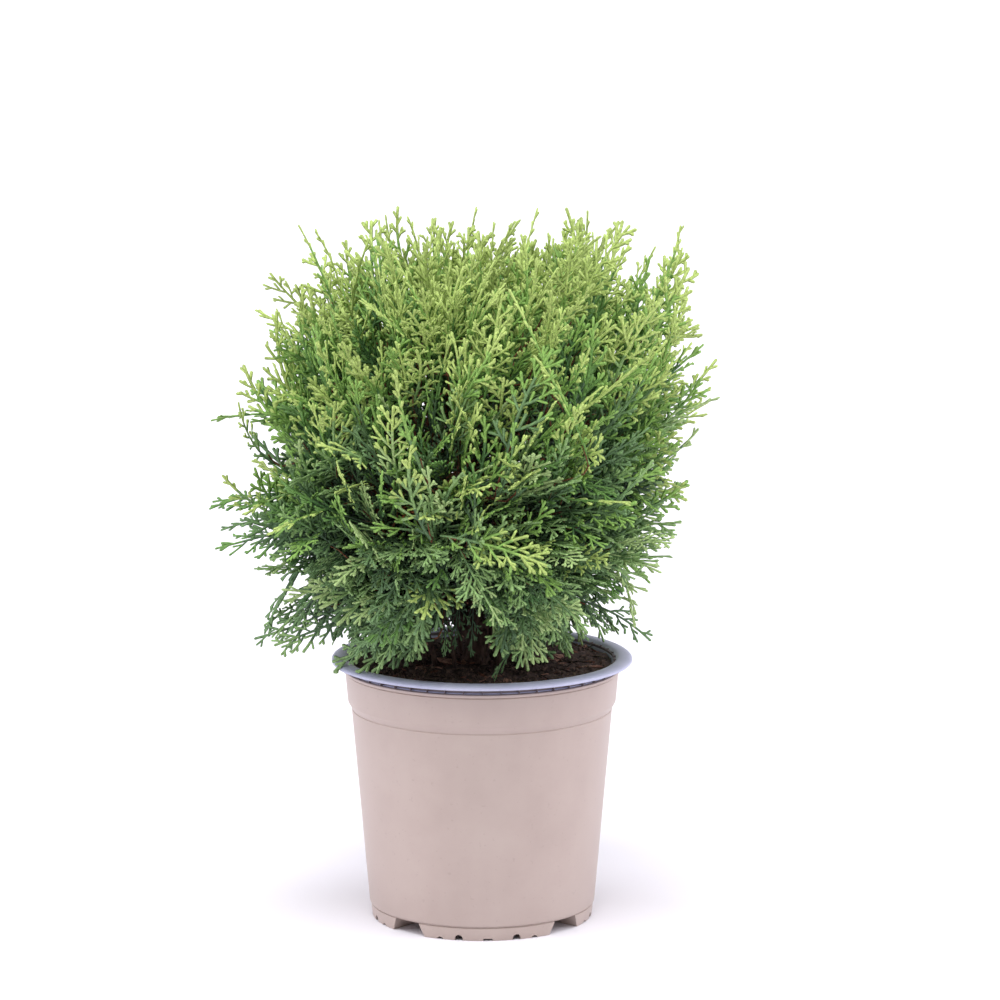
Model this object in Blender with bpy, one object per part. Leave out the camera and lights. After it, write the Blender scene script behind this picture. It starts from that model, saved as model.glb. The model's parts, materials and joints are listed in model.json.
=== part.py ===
"""A potted globe thuja: a dwarf conifer with a short forked trunk, boughs that spread from it,
and a dense rounded crown of flat upright sprays, in a round two-layer nursery pot filled with compost.

Metres, +Z up. The origin is the middle of the pot's flat underside, and the front is -Y.
Each mass of foliage keeps to its own cone-shaped cell round a hub inside the crown."""

import math
import random
from collections import namedtuple

import bmesh
import bpy
from mathutils import Vector

GAP = 0.0003  # clearance between solids that touch on the real plant

# ---- pot: outer shell -------------------------------------------------------------------------
POT_STEPS = 40
SHELL_WALL = 0.0013
FLOOR_THICKNESS = 0.0014
FOOT_RADIUS = 0.0624
FOOT_HEIGHT = 0.0078
FOOT_FLARE = 0.0008  # how much wider the foot is at its top
FOOT_CREASE = 0.0006  # height of the crease between foot and wall
WALL_FOOT_RADIUS = 0.0639
WALL_TOP_RADIUS = 0.0737
WALL_TOP = 0.1206
BAND_BOTTOM = 0.1245
BAND_BOTTOM_RADIUS = 0.0758
BAND_TOP_RADIUS = 0.0772
BEAD_RADIUS = 0.0779
BEAD_HEIGHT = 0.0017
SHELL_TOP = 0.1433
CUT_OVER = 0.001  # how far a cutter runs past the face it opens

# ---- pot: openings in the foot ----------------------------------------------------------------
FOOT_TURN = 3.2  # degrees that the foot's pattern is turned from the front, towards +X
FOOT_SECTORS = 4
CHANNEL_BOTTOM_WIDTH = 0.0247
CHANNEL_TOP_WIDTH = 0.0172
CHANNEL_HEIGHT = 0.0074
CHANNEL_DEPTH = 0.024
ARCH_ANGLE, ARCH_RADIUS, ARCH_CENTRE = 15.0, 0.0023, 0.0009
SCALLOP_ANGLE, SCALLOP_RADIUS, SCALLOP_CENTRE = 25.0, 0.0023, -0.0009
SLOT_WIDTH, SLOT_HEIGHT, SLOT_SLOPE = 0.0060, 0.0013, 0.0005
NOTCH_LENGTH = 0.012
NOTCH_SIDES = 10
FOOT_REACH = FOOT_RADIUS + 0.004  # where the foot's cutters start

# ---- pot: liner with the rolled lip ------------------------------------------------------------
POT_HEIGHT = 0.150
LIP_RADIUS = 0.085
LIP_THICKNESS = 0.0030
LIP_WALL = 0.0014
LIP_PLATE = 0.0018  # thickness of the lip's flat top
LIP_DROP = 0.0015  # how far the lip's outer edge lies below its top
LIP_SLOPE = 0.0045  # width of the slope down to that edge
NECK_RADIUS = 0.0764
MOUTH_RADIUS = 0.0766
MOUTH_DEPTH = 0.005  # how far down the mouth narrows to the liner's wall
LINER_WALL = 0.0012
LINER_FLOOR = 0.0099
SHOULDER = 0.002  # below the shell's top, where the liner widens to it

# ---- compost ----------------------------------------------------------------------------------
COMPOST_TOP = 0.1460
COMPOST_BUMP = 0.0016
COMPOST_STEPS = 24
COMPOST_RINGS = (0.985, 0.8, 0.62, 0.43, 0.25)  # shares of its top's radius
COMPOST_EDGE = 0.001
COMPOST_WAVES = 5
SEAT_RADIUS = 0.026  # the level patch that the trunk stands on

# ---- trunk and boughs --------------------------------------------------------------------------
TRUNK_FOOT = Vector((-0.004, 0.0, COMPOST_TOP + GAP))
TRUNK_LEAVING = Vector((0.004, -0.001, 0.040))  # first bend, from the foot
TRUNK_ARRIVING = Vector((0.001, 0.0, -0.050))  # last bend, from the tip
HUB = Vector((-0.011, 0.0, 0.215))  # every cell's cone starts here
HUB_SPACE = 0.052  # the boughs keep inside this radius, and the foliage outside it
TRUNK_SIDES, TRUNK_STEPS = 10, 10
TRUNK_RADIUS = 0.0056
TRUNK_TIP_RADIUS = 0.0026
FLARE_RADIUS = 0.0088
FLARE_HEIGHT = 0.003  # height in which the flare shrinks to a third
FLARE_LOBES, FLARE_DEPTH = 5, 0.16
FLARE_RING = 0.35  # share of the first step at which the flare has a ring of its own
STEM_RADIUS = 0.0042
BOUGH_RADIUS = 0.0029
BOUGH_TIP_RADIUS = 0.0022
BOUGH_SIDES, BOUGH_STEPS = 5, 5
BOUGH_CLEARANCE = 0.0007
BOUGH_END = 0.003  # straight stretch before a bough's flat end
BOUGH_BEND = 0.42  # share of its span at which a bough's curve is steered

# ---- crown --------------------------------------------------------------------------------------
CROWN_WIDE = 0.145  # from the hub to the left and to the right
CROWN_DEEP = 0.135
CROWN_UP = 0.189
CROWN_DOWN = 0.072
CROWN_LEAN = 0.10  # shift towards +X for each unit of height above the hub
SQUARENESS_UP = 3.2  # exponent of the superellipsoid above the hub: 2 is an egg, more is boxier
SQUARENESS_DOWN = 2.2

# On one side (+X or -X) the crown draws in by a share of its radius round a rise from the hub, in
# degrees; where the depth is negative it stands out instead.
Waist = namedtuple("Waist", "side depth rise spread")
WAISTS = (Waist(1, 0.14, 4.0, 34.0), Waist(-1, 0.09, -12.0, 15.0), Waist(-1, -0.06, 38.0, 20.0))

RAGGED = 0.11  # how far short of the outline a spray may stop
OVERREACH = 1.004  # how far past the outline a blade's corner may reach
CELL_MARGIN = 0.0006
LIP_CLEARANCE = 0.0035
TIER_WAVE, TIER_WAVES = 6.0, 3  # degrees that the tiers' borders rise and fall, and how many times
RING_COUNT = 7
RING_TURN = 360.0 / RING_COUNT
FIRST_UPPER = -10.0  # azimuth of the first upper mass

Tier = namedtuple("Tier", "name first low high seed sprays lift bough_low bough_step bough_rise")
TOP = Tier("top", 0.0, 68.0, 90.0, 11, 6, 0.0, 0.0, 0.0, 90.0)
UPPER = Tier("upper", FIRST_UPPER, 27.0, 68.0, 100, 6, 0.45, 0.208, 0.0040, 38.0)
MIDDLE = Tier("middle", FIRST_UPPER + RING_TURN / 2, -5.0, 27.0, 200, 6, 0.42, 0.186, 0.0034, 24.0)
LOWER = Tier("lower", FIRST_UPPER + RING_TURN / 2, -42.0, -5.0, 300, 5, 0.05, 0.167, 0.0026, 8.0)
HEAVY_STEMS = {"foliage_upper_1": ("stem_right", 0.1580), "foliage_upper_4": ("stem_back", 0.1605)}
HEAVY_RISE = 30.0
START_ORDER = 3  # neighbouring boughs leave the trunk this many steps apart

# ---- sprays -------------------------------------------------------------------------------------
GOLDEN_TURN = 137.508
GOLDEN_SHARE = 0.618034
FIRST_SHARE = 0.35
SPREAD_ROUND, SPREAD_UP, SPREAD_TOP = 0.86, 0.84, 0.80  # shares of a cell that the sprays aim at
AIM_ROUND, AIM_UP, AIM_WILD = 5.0, 4.0, 0.10  # random turns: degrees round, degrees up, any way
SPRAY_LENGTH = 0.064
SPRAY_WIDTH = 0.047
SPRAY_THICKNESS = 0.0020
SPRAY_VARIES = 0.10
SPRAY_ROLL = 90.0  # degrees a spray's blade may turn out of the upright plane
MOST_SHRINK = 0.45  # how much smaller a spray may be to find room
TRIES = 60
FINGERS = 3  # on each side of a spray
FIRST_NOTCH, FINGER_PITCH, FINGER_REACH = 0.10, 0.225, 0.185  # shares of the spray's length
NOTCH_SHARE = 0.38  # of the width out to the finger's tip
RIB_SHARE = 0.55  # of the way from one notch to the next
FIRST_SPREAD, SPREAD_STEP = 0.36, 0.18  # half turns of the sine that the teeth's tips lie on
TWIG_SINK = 0.16  # how far along a spray its twig reaches
TWIG_RADIUS = 0.0016
TWIG_TIP_RADIUS = 0.0009
TWIG_HOLD = 0.55  # share of the stem at which the first twigs leave it
TWIG_LEAD = 0.012  # how far before its spray's root a twig leaves the stem
CORE_MIDDLE, CORE_DEPTH = 0.58, 0.17  # shares of the crown's radius
CORE_CLEARANCE = 0.003  # from the space that the boughs keep
CORE_SPREAD = 0.92  # share of the cell's width and height that a core fills
CORE_DENT = 0.34  # how far in its hollows lie, as a share of its half width
LOW_CORE = 0.90  # how much smaller the cores are in the open lowest tier

Mass = namedtuple("Mass", "name tier azimuth half_width seed")
Site = namedtuple("Site", "root tip grow side face width")


# ================================================================================================
# Meshes and materials
# ================================================================================================
def clear_scene():
    for thing in list(bpy.data.objects):
        bpy.data.objects.remove(thing)


def finish_material(name, colour, roughness):
    """A Principled material with one plain colour."""
    made = bpy.data.materials.new(name)
    made.use_nodes = True
    shader = made.node_tree.nodes["Principled BSDF"]
    shader.inputs["Base Color"].default_value = (*colour, 1.0)
    shader.inputs["Roughness"].default_value = roughness
    return made


def object_from(name, points, faces, material=None, smooth=True):
    mesh = bpy.data.meshes.new(name)
    mesh.from_pydata([tuple(p) for p in points], [], faces)
    mesh.validate()
    if smooth:
        mesh.shade_smooth()
        mesh.set_sharp_from_angle(angle=math.radians(35))
    if material:
        mesh.materials.append(material)
    made = bpy.data.objects.new(name, mesh)
    bpy.context.scene.collection.objects.link(made)
    return made


def helper(thing):
    """Marks a cutter, which is no part of the plant."""
    thing.hide_render = True
    thing.display_type = "WIRE"
    return thing


def cut(thing, cutter):
    change = thing.modifiers.new(cutter.name, "BOOLEAN")
    change.operation = "DIFFERENCE"
    change.solver = "EXACT"
    change.object = cutter


def turned(name, profile, steps, material=None, lift=None):
    """A closed turned solid. The profile runs (radius, height) from the lower axis point round to the
    upper one; lift(radius, height, angle) raises a point, for an uneven top."""
    points, rings = [], []
    for radius, height in profile:
        ring = []
        for step in range(steps if radius > 0 else 1):
            angle = math.tau * step / steps
            raised = lift(radius, height, angle) if lift else 0.0
            ring.append(len(points))
            points.append((radius * math.cos(angle), radius * math.sin(angle), height + raised))
        rings.append(ring)
    faces = []
    for lower, upper in zip(rings, rings[1:]):
        for step in range(steps):
            after = (step + 1) % steps
            corners = [lower[step % len(lower)], lower[after % len(lower)]]
            corners += [upper[after % len(upper)], upper[step % len(upper)]]
            faces.append(list(dict.fromkeys(corners)))
    return object_from(name, points, faces, material)


def prism(name, outline, start, end):
    """The outline (across, up) carried along Y from start to end."""
    count = len(outline)
    points = [(x, start, z) for x, z in outline] + [(x, end, z) for x, z in outline]
    faces = [list(range(count)), list(range(2 * count - 1, count - 1, -1))]
    for i in range(count):
        after = (i + 1) % count
        faces.append([i, i + count, after + count, after])
    return object_from(name, points, faces, smooth=False)


# ================================================================================================
# Pot
# ================================================================================================
def foot_direction(degrees):
    """Turn about Z that takes -Y to the foot's own direction, this many degrees round."""
    return math.radians(FOOT_TURN + degrees)


def channel_outline(grown):
    half_low = CHANNEL_BOTTOM_WIDTH / 2 + grown
    half_high = CHANNEL_TOP_WIDTH / 2 + grown
    top = CHANNEL_HEIGHT + grown
    return [(-half_low, -CUT_OVER), (half_low, -CUT_OVER), (half_high, top), (-half_high, top)]


def arch_outline(radius, centre):
    turns = [math.tau * (i + 0.5) / NOTCH_SIDES for i in range(NOTCH_SIDES)]
    return [(radius * math.cos(t), centre + radius * math.sin(t)) for t in turns]


def slot_outline():
    half = SLOT_WIDTH / 2
    high = half - SLOT_SLOPE
    return [(-half, -CUT_OVER), (half, -CUT_OVER), (high, SLOT_HEIGHT), (-high, SLOT_HEIGHT)]


def shell_profile():
    return [
        (0.0, 0.0),
        (FOOT_RADIUS, 0.0),
        (FOOT_RADIUS + FOOT_FLARE, FOOT_HEIGHT),
        (WALL_FOOT_RADIUS, FOOT_HEIGHT + FOOT_CREASE),
        (WALL_TOP_RADIUS, WALL_TOP),
        (BAND_BOTTOM_RADIUS, BAND_BOTTOM),
        (BAND_TOP_RADIUS, SHELL_TOP - BEAD_HEIGHT),
        (BEAD_RADIUS, SHELL_TOP - BEAD_HEIGHT),
        (BEAD_RADIUS, SHELL_TOP),
        (0.0, SHELL_TOP),
    ]


def wall_radius(height):
    """Outer radius of the shell's plain tapering wall, carried on past both its ends."""
    slope = (WALL_TOP_RADIUS - WALL_FOOT_RADIUS) / (WALL_TOP - FOOT_HEIGHT)
    return WALL_FOOT_RADIUS + slope * (height - FOOT_HEIGHT)


def cavity_profile():
    over = SHELL_TOP + CUT_OVER
    return [
        (0.0, FLOOR_THICKNESS),
        (FOOT_RADIUS - SHELL_WALL, FLOOR_THICKNESS),
        (FOOT_RADIUS + FOOT_FLARE - SHELL_WALL, FOOT_HEIGHT),
        (WALL_FOOT_RADIUS - SHELL_WALL, FOOT_HEIGHT + FOOT_CREASE),
        (WALL_TOP_RADIUS - SHELL_WALL, WALL_TOP),
        (BAND_BOTTOM_RADIUS - SHELL_WALL, BAND_BOTTOM),
        (BAND_TOP_RADIUS - SHELL_WALL, SHELL_TOP - BEAD_HEIGHT),
        (BAND_TOP_RADIUS - SHELL_WALL, over),
        (0.0, over),
    ]


def cut_foot(shell, cavity, sector):
    """One quarter of the foot: a wide drainage channel at its end, and small notches in its edge."""
    middle = 360.0 * sector / FOOT_SECTORS
    inner = FOOT_RADIUS - CHANNEL_DEPTH
    turn = foot_direction(middle + 180.0 / FOOT_SECTORS)
    channel = prism(f"channel_{sector}", channel_outline(0.0), -FOOT_REACH, -inner)
    ridge = prism(f"ridge_{sector}", channel_outline(SHELL_WALL), -FOOT_REACH, SHELL_WALL - inner)
    for cutter, target in ((channel, shell), (ridge, cavity)):
        cutter.rotation_euler.z = turn
        cut(target, helper(cutter))
    outlines = {0.0: slot_outline()}
    for side in (-1, 1):
        outlines[side * ARCH_ANGLE] = arch_outline(ARCH_RADIUS, ARCH_CENTRE)
        outlines[side * SCALLOP_ANGLE] = arch_outline(SCALLOP_RADIUS, SCALLOP_CENTRE)
    for angle, outline in outlines.items():
        notch = prism(f"notch_{sector}_{angle:.0f}", outline, -FOOT_REACH, NOTCH_LENGTH - FOOT_REACH)
        notch.rotation_euler.z = foot_direction(middle + angle)
        cut(shell, helper(notch))


def make_shell(material):
    """Outer pot: a turned cup whose foot is open in four places."""
    shell = turned("pot_shell", shell_profile(), POT_STEPS, material)
    cavity = helper(turned("cavity", cavity_profile(), POT_STEPS))
    for sector in range(FOOT_SECTORS):
        cut_foot(shell, cavity, sector)
    cut(shell, cavity)


def liner_outside(height):
    """Outer radius of the liner's wall, a gap inside the shell's."""
    return wall_radius(height) - SHELL_WALL - GAP


def liner_profile():
    """Outer side from the floor up and over the lip, then down the inside to the floor."""
    under_lip = POT_HEIGHT - LIP_THICKNESS
    shoulder = SHELL_TOP - SHOULDER
    return [
        (0.0, LINER_FLOOR),
        (liner_outside(LINER_FLOOR), LINER_FLOOR),
        (liner_outside(shoulder), shoulder),
        (BAND_TOP_RADIUS - SHELL_WALL - GAP, SHELL_TOP + GAP),
        (NECK_RADIUS, SHELL_TOP + GAP),
        (NECK_RADIUS, POT_HEIGHT - LIP_PLATE),
        (LIP_RADIUS - LIP_WALL, POT_HEIGHT - LIP_PLATE),
        (LIP_RADIUS - LIP_WALL, under_lip),
        (LIP_RADIUS, under_lip),
        (LIP_RADIUS, POT_HEIGHT - LIP_DROP),
        (LIP_RADIUS - LIP_SLOPE, POT_HEIGHT),
        (MOUTH_RADIUS, POT_HEIGHT),
        (liner_outside(POT_HEIGHT - MOUTH_DEPTH) - LINER_WALL, POT_HEIGHT - MOUTH_DEPTH),
        (liner_outside(LINER_FLOOR) - LINER_WALL, LINER_FLOOR + LINER_WALL),
        (0.0, LINER_FLOOR + LINER_WALL),
    ]


def compost_radius(height):
    """Radius of the compost at this height, clear of the flats of the liner's inside."""
    return liner_outside(height) - LINER_WALL - 2 * GAP


def make_compost(material):
    """The fill of the pot, with an uneven top that is level where the trunk stands."""
    rng = random.Random(5)
    waves = []
    for _ in range(COMPOST_WAVES):
        waves.append((rng.randint(2, 6), rng.uniform(0, math.tau), rng.uniform(40, 110)))
    floor = LINER_FLOOR + LINER_WALL + GAP
    shoulder = COMPOST_TOP - 2 * COMPOST_EDGE
    rim = compost_radius(shoulder)

    def lift(radius, height, angle):
        away = math.hypot(radius * math.cos(angle) - TRUNK_FOOT.x, radius * math.sin(angle) - TRUNK_FOOT.y)
        if height < COMPOST_TOP or away < SEAT_RADIUS:
            return 0.0
        waviness = sum(math.sin(turns * angle + start + radius * rate) for turns, start, rate in waves)
        return COMPOST_BUMP * waviness / COMPOST_WAVES

    profile = [(0.0, floor), (compost_radius(floor) - COMPOST_EDGE, floor), (rim, shoulder)]
    profile += [(rim * share, COMPOST_TOP) for share in COMPOST_RINGS]
    profile.append((0.0, COMPOST_TOP))
    turned("compost", profile, COMPOST_STEPS, material, lift)


# ================================================================================================
# Limbs
# ================================================================================================
def bent_path(start, first, last, end, steps):
    """Points on a cubic curve that leaves start towards first and reaches end from last."""
    path = []
    for i in range(steps + 1):
        t = i / steps
        u = 1 - t
        path.append(u**3 * start + 3 * u * u * t * first + 3 * u * t * t * last + t**3 * end)
    return path


def limb_mesh(path, radii, sides, first_way=None, lobes=None):
    """Points and faces of a round tapering limb along the path. Its first end is square to first_way,
    or to the path, and lobes(i, angle) widens ring i."""
    points, faces = [], []
    side = None
    for i, centre in enumerate(path):
        ahead = (path[min(i + 1, len(path) - 1)] - path[max(i - 1, 0)]).normalized()
        if i == 0 and first_way:
            ahead = first_way
        side = side or ahead.orthogonal()
        side = (side - ahead * side.dot(ahead)).normalized()
        other = ahead.cross(side)
        for step in range(sides):
            angle = math.tau * step / sides
            radius = radii[i] * (lobes(i, angle) if lobes else 1.0)
            points.append(centre + radius * (math.cos(angle) * side + math.sin(angle) * other))
    for i in range(len(path) - 1):
        for step in range(sides):
            a, b = i * sides + step, i * sides + (step + 1) % sides
            faces.append([a, b, b + sides, a + sides])
    faces.append(list(range(sides))[::-1])
    faces.append(list(range(len(points) - sides, len(points))))
    return points, faces


def ray(azimuth, elevation):
    """Unit vector; azimuth runs from +X towards +Y, both in degrees."""
    turn, rise = math.radians(azimuth), math.radians(elevation)
    return Vector((math.cos(turn) * math.cos(rise), math.sin(turn) * math.cos(rise), math.sin(rise)))


def trunk_path():
    tip = HUB + Vector((0, 0, HUB_SPACE))
    return bent_path(TRUNK_FOOT, TRUNK_FOOT + TRUNK_LEAVING, tip + TRUNK_ARRIVING, tip, TRUNK_STEPS)


def trunk_radii(path):
    """Root flare at the foot, then a slow taper to the tip."""
    rise = path[-1].z - path[0].z
    radii = []
    for point in path:
        height = point.z - path[0].z
        taper = TRUNK_RADIUS + (TRUNK_TIP_RADIUS - TRUNK_RADIUS) * height / rise
        radii.append(taper + (FLARE_RADIUS - TRUNK_RADIUS) * math.exp(-height / FLARE_HEIGHT))
    return radii


def make_trunk(material):
    path = trunk_path()
    path.insert(1, path[0].lerp(path[1], FLARE_RING))

    def lobes(i, angle):
        return 1 + (FLARE_DEPTH * math.cos(FLARE_LOBES * angle) if i < 2 else 0.0)

    points, faces = limb_mesh(path, trunk_radii(path), TRUNK_SIDES, Vector((0, 0, 1)), lobes)
    object_from("trunk", points, faces, material)


def trunk_at(height):
    """Centre and radius of the trunk at this height."""
    path = trunk_path()
    radii = trunk_radii(path)
    for i in range(len(path) - 1):
        if path[i].z <= height <= path[i + 1].z:
            share = (height - path[i].z) / (path[i + 1].z - path[i].z)
            return path[i].lerp(path[i + 1], share), radii[i] + (radii[i + 1] - radii[i]) * share
    return path[-1], radii[-1]


def heading(mass):
    """The way out of the hub along the middle of the mass's cell."""
    if mass.tier is TOP:
        return Vector((0, 0, 1))
    return ray(mass.azimuth, (mass.tier.low + mass.tier.high) / 2 + tier_wave(mass.azimuth))


def mouth(mass):
    """Where the bough ends and the mass's own stem begins."""
    return HUB + heading(mass) * HUB_SPACE


def make_bough(mass, name, start_height, radius, rise, material):
    """One tapering limb from the trunk's side to the mouth of its mass, rising by rise degrees at first."""
    centre, thickness = trunk_at(start_height)
    out = ray(mass.azimuth, 0)
    along = heading(mass)
    start = centre + out * (thickness + BOUGH_CLEARANCE)
    end = mouth(mass) - along * BOUGH_END
    reach = (end - start).length * BOUGH_BEND
    path = bent_path(start, start + ray(mass.azimuth, rise) * reach, end - along * reach, end, BOUGH_STEPS)
    path.append(mouth(mass))
    radii = [radius + (BOUGH_TIP_RADIUS - radius) * i / (len(path) - 1) for i in range(len(path))]
    points, faces = limb_mesh(path, radii, BOUGH_SIDES, out)
    object_from(name, points, faces, material)


def make_boughs(masses, material):
    """A bough to each mass round the trunk, two of them heavier stems that leave it low down."""
    for mass in masses:
        tier = mass.tier
        if mass.name in HEAVY_STEMS:
            name, height = HEAVY_STEMS[mass.name]
            make_bough(mass, name, height, STEM_RADIUS, HEAVY_RISE, material)
        elif tier is not TOP:
            number = int(mass.name.split("_")[-1])
            height = tier.bough_low + tier.bough_step * (number * START_ORDER % RING_COUNT)
            make_bough(mass, f"bough_{tier.name}_{number}", height, BOUGH_RADIUS, tier.bough_rise, material)


# ================================================================================================
# Crown
# ================================================================================================
def crown_masses():
    masses = [Mass("foliage_top", TOP, 0.0, 180.0, TOP.seed)]
    for tier in (UPPER, MIDDLE, LOWER):
        for k in range(RING_COUNT):
            name = f"foliage_{tier.name}_{k + 1}"
            masses.append(Mass(name, tier, tier.first + RING_TURN * k, RING_TURN / 2, tier.seed + k))
    return masses


def crown_radius(way):
    """Distance from the hub to the crown's outline along a unit vector."""
    tall, power = (CROWN_UP, SQUARENESS_UP) if way.z > 0 else (CROWN_DOWN, SQUARENESS_DOWN)
    across = way.x - CROWN_LEAN * way.z
    total = sum(abs(part) ** power for part in (across / CROWN_WIDE, way.y / CROWN_DEEP, way.z / tall))
    return total ** (-1 / power) * (1 - drawn_in(way))


def drawn_in(way):
    """How much of its radius the crown loses at its waists along a unit vector."""
    rise = math.degrees(math.asin(max(-1.0, min(1.0, way.z))))
    lost = 0.0
    for waist in WAISTS:
        nearness = max(0.0, 1 - ((rise - waist.rise) / waist.spread) ** 2)
        lost += waist.depth * max(0.0, way.x * waist.side) ** 2 * nearness
    return lost


def tier_wave(azimuth):
    return TIER_WAVE * math.sin(math.radians(TIER_WAVES * azimuth))


def in_cell(mass, point):
    """True if the point lies in the mass's own cell, clear of its neighbours, the pot and the boughs."""
    away = point - HUB
    flat = math.hypot(away.x, away.y)
    distance = away.length
    if distance < HUB_SPACE + CELL_MARGIN or distance > crown_radius(away / distance) * OVERREACH:
        return False
    azimuth = math.degrees(math.atan2(away.y, away.x))
    rise = math.degrees(math.atan2(away.z, flat)) - tier_wave(azimuth)
    slack = math.degrees(CELL_MARGIN / distance)
    if rise < mass.tier.low + slack or point.z < POT_HEIGHT + LIP_CLEARANCE:
        return False
    if mass.tier is TOP:
        return True
    off = (azimuth - mass.azimuth + 180) % 360 - 180
    return rise < mass.tier.high - slack and abs(off) < mass.half_width - math.degrees(CELL_MARGIN / flat)


def spray_outline(length, width):
    """Flat outline (along, across) of a spray: a blade with teeth that alternate from side to side."""
    edges = {1: [], -1: []}
    for side, shift in ((1, 0.0), (-1, 0.5)):
        for k in range(FINGERS + 1):
            notch = FIRST_NOTCH + FINGER_PITCH * (k + shift)
            spread = width / 2 * math.sin(math.pi * (FIRST_SPREAD + SPREAD_STEP * (k + shift)))
            edges[side].append((notch * length, side * spread * NOTCH_SHARE))
            if k < FINGERS:
                edges[side].append(((notch + FINGER_REACH) * length, side * spread))
    return [(0.0, 0.0)] + edges[1] + [(length, 0.0)] + edges[-1][::-1]


def spray_rib(length):
    """The points (along) of the thick rib between a spray's pairs of teeth."""
    return [length * (FIRST_NOTCH + FINGER_PITCH * (k + RIB_SHARE)) for k in range(FINGERS)]


def spray_corners(site):
    """The spray's outline in space, and its rib on the two faces."""
    length = (site.tip - site.root).length
    edge = [site.root + site.grow * a + site.side * b for a, b in spray_outline(length, site.width)]
    rib = [site.root + site.grow * a for a in spray_rib(length)]
    half = site.face * SPRAY_THICKNESS / 2
    return edge, [p + half for p in rib], [p - half for p in rib]


def aim(mass, i, rng):
    """Ray from the hub to where the mass's spray i ends, spread over the cell by the golden ratio."""
    tier = mass.tier
    if tier is TOP:
        azimuth = GOLDEN_TURN * i
        elevation = 90 - (90 - tier.low) * SPREAD_TOP * math.sqrt(i / tier.sprays)
    else:
        azimuth = mass.azimuth + 2 * mass.half_width * SPREAD_ROUND * ((i + 0.5) / tier.sprays - 0.5)
        share = (FIRST_SHARE + i * GOLDEN_SHARE) % 1.0 - 0.5
        middle = (tier.low + tier.high) / 2 + tier_wave(azimuth)
        elevation = middle + (tier.high - tier.low) * SPREAD_UP * share
    return ray(azimuth + rng.uniform(-AIM_ROUND, AIM_ROUND), elevation + rng.uniform(-AIM_UP, AIM_UP))


def spray_site(mass, i, shrink, rng):
    """A seeded place for spray i: its tip near the crown's outline, its blade turned any way round."""
    way = aim(mass, i, rng)
    tip = HUB + way * crown_radius(way) * (1 - RAGGED * rng.random() ** 2)
    wild = Vector([rng.uniform(-AIM_WILD, AIM_WILD) for _ in range(3)])
    grow = (way + Vector((0, 0, mass.tier.lift)) + wild).normalized()
    aside = ray(rng.uniform(0, 360), 0) if mass.tier is TOP else Vector((0, 0, 1))
    upright = grow.cross(aside).normalized()
    roll = math.radians(rng.uniform(-SPRAY_ROLL, SPRAY_ROLL))
    face = upright * math.cos(roll) + grow.cross(upright) * math.sin(roll)
    length = SPRAY_LENGTH * shrink * rng.uniform(1 - SPRAY_VARIES, 1 + SPRAY_VARIES)
    width = SPRAY_WIDTH * shrink * rng.uniform(1 - SPRAY_VARIES, 1 + SPRAY_VARIES)
    return Site(tip - grow * length, tip, grow, face.cross(grow), face, width)


def spray_sites(mass):
    """The mass's sprays, each at its first seeded try that keeps to the cell, if there is one."""
    rng = random.Random(mass.seed)
    sites = []
    for i in range(mass.tier.sprays):
        for attempt in range(TRIES):
            site = spray_site(mass, i, 1 - MOST_SHRINK * attempt / TRIES, rng)
            edge, near, far = spray_corners(site)
            if all(in_cell(mass, corner) for corner in edge + near + far):
                sites.append(site)
                break
    return sites


def blade(name, site):
    """A toothed blade: it is thick along its rib and thins to a sharp edge all round."""
    edge, near, far = spray_corners(site)
    count = len(edge)
    ribs = [max(0, min(FINGERS - 1, (min(i, count - 1 - i) - 1) // 2)) for i in range(count)]
    faces = []
    for i in range(count):
        after = (i + 1) % count
        front = count + ribs[i]
        faces += [[after, i, front], [i, after, front + FINGERS]]
        if ribs[i] != ribs[i - 1]:
            last = count + ribs[i - 1]
            faces += [[i, last, front], [i, front + FINGERS, last + FINGERS]]
    return object_from(name, edge + near + far, faces, smooth=False)


def core_middle(mass):
    way = heading(mass)
    return HUB + way * crown_radius(way) * CORE_MIDDLE


def core(mass, material):
    """The dense heart of a mass: a dented egg that is bent to the curve of its cell."""
    tier = mass.tier
    shape = bmesh.new()
    bmesh.ops.create_icosphere(shape, subdivisions=1 if tier is LOWER else 2, radius=1.0)
    rng = random.Random(mass.seed)
    for vert in shape.verts:
        size = rng.uniform(1 - CORE_DENT, 1.0) * (LOW_CORE if tier is LOWER else 1.0)
        across, up, out = vert.co * size
        if tier is TOP:
            azimuth = math.degrees(math.atan2(up, across))
            elevation = 90 - math.hypot(up, across) * CORE_SPREAD * (90 - tier.low)
        else:
            azimuth = mass.azimuth + across * CORE_SPREAD * mass.half_width
            middle = (tier.low + tier.high) / 2 + tier_wave(azimuth)
            elevation = middle + up * CORE_SPREAD * (tier.high - tier.low) / 2
        way = ray(azimuth, elevation)
        reach = crown_radius(way) * (CORE_MIDDLE + CORE_DEPTH * out)
        vert.co = HUB + way * max(reach, HUB_SPACE + CORE_CLEARANCE)
    bmesh.ops.recalc_face_normals(shape, faces=shape.faces)
    mesh = bpy.data.meshes.new(mass.name)
    shape.to_mesh(mesh)
    shape.free()
    mesh.materials.append(material)
    made = bpy.data.objects.new(mass.name, mesh)
    bpy.context.scene.collection.objects.link(made)
    return made


def twig(start, end, first, last, sides):
    points, faces = limb_mesh([start, end], [first, last], sides)
    return object_from("twig", points, faces, smooth=False)


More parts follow.
